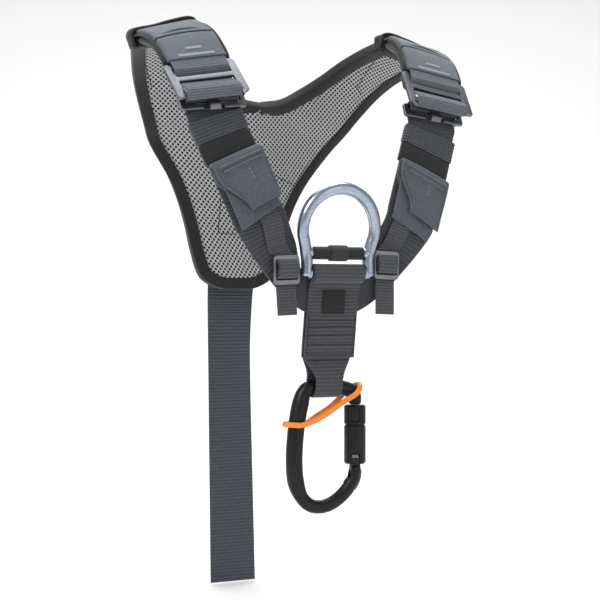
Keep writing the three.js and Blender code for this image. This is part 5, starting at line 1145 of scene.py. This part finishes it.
# Across and down as shares of half the width and of the height, then which rod it is.
CONNECTOR_ROWS = [
    (1.02, 0.128, "gate"), (1.0, 0.075, "gate"), (0.88, 0.035, "top"), (0.72, 0.014, "top"), (0.53, 0.0, "top"),
    (0.0, 0.0, "top"), (-0.55, 0.004, "top"), (-0.7, 0.044, "top"), (-0.79, 0.12, "spine"), (-0.89, 0.25, "spine"),
    (-0.97, 0.43, "spine"), (-1.0, 0.62, "spine"), (-0.94, 0.79, "spine"), (-0.76, 0.91, "bottom"),
    (-0.5, 0.98, "bottom"), (-0.2, 1.0, "bottom"), (0.14, 0.985, "bottom"), (0.49, 0.93, "bottom"),
    (0.78, 0.85, "bottom"), (0.96, 0.755, "knuckle"),
]
tall = CONNECTOR_HEIGHT - rods["top"] / 2 - rods["bottom"] / 2
knots = np.array([(CONNECTOR_WIDTH / 2 * a + 0.6, ROD[1], ROD[2] - tall * d) for a, d, _ in CONNECTOR_ROWS])
knots[0, 2] = SLEEVE_TOP_Z + 1.6
knots[:2, 0] = GATE_X
sizes = np.array([rods[kind] for _, _, kind in CONNECTOR_ROWS]) / 2
t = np.linspace(0, len(knots) - 1, 500)
body_line, _ = along(np.hstack([curve(knots, t), np.interp(t, np.arange(len(sizes)), sizes)[:, None]]), 1.0)
nose = np.array([(GATE_X, ROD[1], SLEEVE_TOP_Z + 0.5, 5.0)])
# The line's last quarter gives way to the forked knuckle from just below the hinge upwards.
forked = (body_line[:, 2] > HINGE_Z - 5.4) & (np.arange(len(body_line)) > len(body_line) * 3 // 4)
fork_from = body_line[~forked][-7]
body_line = np.vstack([nose, body_line[~forked]])
# Black-anodised aluminium: satin, nearly black, with soft broad highlights.
black_anodised = brushed_metal("anodised_aluminium_black", "#101113", "#26282b", 0.3, 1.2, metallic=0.6)
frame_body = tube("connector_body", body_line[:, :3], body_line[:, 3], black_anodised, body="carabiner", cap=1.2)
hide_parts("carabiner_body")


def cheek(name, turn):
    """Half of the forked knuckle: the rod's circle, kept beyond the tongue's slot on one side, runs to
    the hinge and closes round it, its radius shrinking as the root of r squared less d squared."""
    hinge = np.array([GATE_X, ROD[1], HINGE_Z])
    start = fork_from[:3]
    knots = [start, mix(start, hinge, 0.55) + (1.0, 0, -0.8), hinge, hinge + (0.3, 0, 4.7)]
    line, run = along(curve(knots, np.linspace(0, 3, 60)), 0.4)
    past = np.clip((line - hinge) @ (0, 0, 1), 0, 4.75)
    knuckle = rods["knuckle"] / 2
    fuller = (fork_from[3] - knuckle) * (1 - ease(0, 9, run))
    radii = np.sqrt(knuckle**2 + 0.05 - past**2) + fuller
    ahead = unit(np.gradient(line, axis=0))
    across = unit(np.cross((0, 1, 0), ahead))
    angle = np.linspace(0, 2 * math.pi, 32, endpoint=False)
    sideways = radii[:, None] * np.cos(angle)
    high = np.sqrt(np.clip((knuckle + fuller)[:, None] ** 2 - sideways**2, 0, None)) * np.sign(np.sin(angle))
    height = np.where(np.sin(angle) > 0, np.maximum(high, 2.55), 2.5)
    rings = line[:, None] + sideways[..., None] * across[:, None] + height[..., None] * np.array([0, turn, 0])
    uv = np.stack(np.broadcast_arrays(np.linspace(0, 30, 33)[None], run[:, None]), -1)
    return skin(name, rings, uv, black_anodised, "carabiner")


for turn, where in ((-1, "front"), (1, "back")):
    cheek(f"knuckle_{where}", turn)
pin = ground_copy("hinge_pin", "gate_pin", 0.3, black_anodised, "carabiner")
gate = ground_copy("connector_gate", "carabiner_gate", 0.6, black_anodised, "gate")
# The sleeve is a turned tube: radius by height, less a keyhole window above and a keyway below that
# both face the camera's side, their floors sunk by the recess.
RECESS = 1.9
sleeve_low, wall_r, hollow = HINGE_Z + 7, 8.8, 5.3
waist = mix(sleeve_low, SLEEVE_TOP_Z, 0.66)
z = np.unique(np.concatenate([np.linspace(sleeve_low, SLEEVE_TOP_Z, 150), waist + np.linspace(-1.5, 1.5, 13)]))
theta = np.linspace(0, 2 * math.pi, 120, endpoint=False)
ends = np.minimum(z - sleeve_low, SLEEVE_TOP_Z - z)
radius = wall_r - 1.0 * (1 - ease(0, 1.3, ends)) - 1.0 * np.exp(-((z - waist) / 0.75) ** 2)
face = np.angle(np.exp(1j * (theta + math.pi / 2 - YAW)))[None] * wall_r
tall = z[:, None]
above_window = np.abs(tall - (waist + SLEEVE_TOP_Z) / 2 - 0.2)
window = np.hypot(np.clip(np.abs(face) - 1.2, 0, None), np.clip(above_window - 2.8, 0, None)) - 2.6
keyway = np.maximum(np.abs(face) - 4.4, tall - (sleeve_low + 7.5))
recess = np.maximum(1 - ease(0, 0.7, window), 1 - ease(0, 0.7, keyway))
outer = radius[:, None] - RECESS * recess
bore = np.full((2, len(theta)), hollow)
column = np.vstack([outer, bore])
heights = np.concatenate([z, [SLEEVE_TOP_Z, sleeve_low]])
shell = np.stack([GATE_X + column * np.cos(theta), ROD[1] + column * np.sin(theta),
                  np.repeat(heights[:, None], len(theta), 1)], -1)
uv = np.stack(np.meshgrid(np.append(heights, heights[0]), np.linspace(0, 55, len(theta) + 1), indexing="ij"), -1)
sleeve = skin("twist_sleeve", shell, uv, black_anodised, "sleeve", loop=True, sharp=50)
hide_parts("gate_sleeve")
# A bright steel follower shows as a half moon at the top of the keyway.
k = np.linspace(0, 1, 9)
half_moon = np.linspace(0, math.pi, 25)
u = k[:, None] * 4.2 * np.cos(half_moon)[None]
v = k[:, None] * 3.4 * np.sin(half_moon)[None]
dome = 0.9 * np.sqrt(np.clip(1 - k[:, None] ** 2, 0, 1)) * np.ones(25)[None]
angle = YAW - math.pi / 2 + u / wall_r
lifted = wall_r - 1.75 + dome
front = np.stack([GATE_X + lifted * np.cos(angle), ROD[1] + lifted * np.sin(angle), sleeve_low + 5.2 + v], -1)
behind_it = front - np.array([math.cos(YAW - math.pi / 2), math.sin(YAW - math.pi / 2), 0]) * 1.0
quad = grid_quads(9, 25)[:, REVERSED]
rim_a, rim_b = 8 * 25 + np.arange(24), 8 * 25 + np.arange(24) + 1
base_a = np.concatenate([np.arange(8) * 25, np.arange(8) * 25 + 24])
base_b = base_a + 25
walls = np.vstack([np.stack([a, b, b + 225, a + 225], -1) for a, b in ((rim_a, rim_b), (base_a, base_b))])
follower = place_mesh("steel_follower", np.vstack([front.reshape(-1, 3), behind_it.reshape(-1, 3)]),
                      np.vstack([quad, quad[:, ::-1] + 225, walls]), None, nickel_steel, "sleeve")
weld(follower.data, 1e-6)

# ---- Retainer: an orange moulded rubber band stretched from the connector's spine up to the corner on
# the gate's side, one strand in front and one behind, which keeps the sling from sliding round.
RETAINER_ROD, SPINE_ROD = 4.4, 13.6
grow = RETAINER_ROD / 2 + GAP
low = ROD[2] - 28.5
spine_x = -CONNECTOR_WIDTH / 2 + 3.4


def half_turn(x, z, along_x, along_z, radius, degrees):
    """Points round half a circle in the plane of y and one slanted line in x and z."""
    angle = np.radians(degrees)
    reach = radius * np.cos(angle)
    return np.stack([x + along_x * reach, radius * np.sin(angle), z + along_z * reach], -1)


strand = np.array([(-12, 11, low + 4), (-1, 11.8, low + 10), (11, 11, low + 17)])
knots = np.vstack([
    half_turn(spine_x, low, -1, 0, SPINE_ROD / 2 + grow + 0.7, [90, 45, 0, -45, -90]), strand * (1, -1, 1),
    half_turn(24.3, low + 23.9, 0.7, 0.7, TOP_ROD / 2 + grow + 1, [-90, -45, 0, 45, 90]), strand[::-1] - (0, 0, 4.8),
]) + (0, ROD[1], 0)
wide = np.vstack([knots, knots, knots])
n = len(knots)
band_line, _ = along(curve(wide, np.linspace(n, 2 * n, 400)), 1.0)
# Natural rubber, moulded and dyed orange: soft highlights, with a faint bloom in spots of about 4 mm.
orange_rubber, tree, shader = new_material("orange_rubber", Roughness=0.45, Specular_IOR_Level=0.4)
place = add(tree, "TexCoord").outputs["Object"]
bloom = add(tree, "TexNoise", {"Vector": place, "Scale": 260, "Detail": 4}).outputs[0]
tint = add(tree, "MixRGB", {0: bloom, 1: linear("#e5741a"), 2: linear("#f99a3c")})
bump = add(tree, "Bump", {"Height": bloom, "Strength": 0.15, "Distance": 0.0003})
tree.links.new(tint.outputs[0], shader.inputs["Base Color"])
tree.links.new(bump.outputs[0], shader.inputs["Normal"])
rubber = tube("retainer", band_line[:-1], RETAINER_ROD / 2, orange_rubber, sides=20, loop=True, body="carabiner")
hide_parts("retainer_band")

# ---- Rear strap: 45 mm webbing sewn on the back of the yoke, hanging free with a slight twist, its cut
# end sealed by heat. The ribs stop short of two plain selvedges.
REAR_TOP_Z, REAR_END_Z, REAR_TWIST, REAR_SWAY = -112, -480, math.radians(9), 3
down, twist = np.array([(1, 0.3), (0.8, 0.5), (0.6, 0.7), (0.4, 0.9), (0.2, 1), (0, 0.3)]).T
twist = twist * REAR_TWIST
hanging = np.stack([REAR_SWAY * down, 0 * down + BACK_Y, mix(-BACK_DROP - 12, REAR_END_Z, down)], -1)
spine_points = yoke_edges(np.arange(0, NAPE + 0.01, 0.5))[0]
spine_points = spine_points[spine_points[:, 2] < REAR_TOP_Z + 4]
hanging_sides = np.stack([np.cos(twist), np.sin(twist), 0 * twist], -1)
rear = make_course(np.vstack([hanging, spine_points]),
                   np.vstack([hanging_sides, np.repeat([across_x], len(spine_points), 0)]))
rear_h = WEB_H + WEB + 2 * GAP + 3.1
# Rear webbing: the same ribs as the chest straps in a bluer charcoal.
rear_web = ribbed_cloth("rear_webbing", "#2b2f37", "#434852", rib=3.0, thread=1.4, rough=0.72)
strap = ribbon("back_strap", rear, 1, [(0, rear_h), (rear["marks"][-1], rear_h)], WEB_WIDTH, WEB, rear_web,
               step=0.6, ribs=(3.0, 0.14, 2.5), smooth=False)
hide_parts("rear_strap")

# ---- Floor and light: a plain pale sweep that rises behind the harness, and large soft lamps, the key
# from the upper left as in the photograph.
FLOOR_Z = REAR_END_Z - 2
x = np.linspace(-6000, 6000, 3)
depth = np.concatenate([[-3000, 1500], 1500 + 1200 * np.sin(np.linspace(0, math.pi / 2, 24)[1:]), [2700]])
rise = np.concatenate([[0, 0], 1200 * (1 - np.cos(np.linspace(0, math.pi / 2, 24)[1:])), [6000]])
sweep = in_view(*np.broadcast_arrays(x[None], depth[:, None], FLOOR_Z + rise[:, None]))
# Backdrop paper: matt and nearly white, so that only a soft shadow shows on it.
paper, tree, shader = new_material("backdrop_paper", Roughness=0.95, Base_Color=linear("#f4f4f4"))
sweep_mesh = bpy.data.meshes.new("backdrop")
sweep_mesh.from_pydata((sweep.reshape(-1, 3) / 1000).tolist(), [], grid_quads(*sweep.shape[:2]).tolist())
sweep_mesh.polygons.foreach_set("use_smooth", [True] * len(sweep_mesh.polygons))
sweep_mesh.materials.append(paper)
backdrop = bpy.data.objects.new("backdrop", sweep_mesh)
scene.collection.objects.link(backdrop)


def soft_lamp(name, aside, ahead, up, width, power):
    """Square area lamp at aside, ahead and up (metres, in the camera's turned axes), aimed at the ring."""
    lamp = bpy.data.objects.new(name, bpy.data.lights.new(name, "AREA"))
    lamp.data.size = width
    lamp.data.energy = power
    place = in_view(aside, ahead, up)
    lamp.location = place
    away = place - (0, 0, -0.2)
    lamp.rotation_euler = (math.acos(away[2] / np.linalg.norm(away)), 0, math.atan2(away[1], away[0]) + math.pi / 2)
    scene.collection.objects.link(lamp)


soft_lamp("key", -1.2, -1.6, 1.3, 1.2, 30)
soft_lamp("fill", 1.6, -1.4, 0.3, 1.4, 5)
soft_lamp("top", 0.05, 0.3, 1.7, 1.4, 20)
soft_lamp("back_wash", 0, 1.6, 1.6, 2.4, 30)
world = bpy.data.worlds.new("studio")
scene.world = world
world.use_nodes = True
world.node_tree.nodes["Background"].inputs[0].default_value = linear("#ffffff")
world.node_tree.nodes["Background"].inputs[1].default_value = 0.5
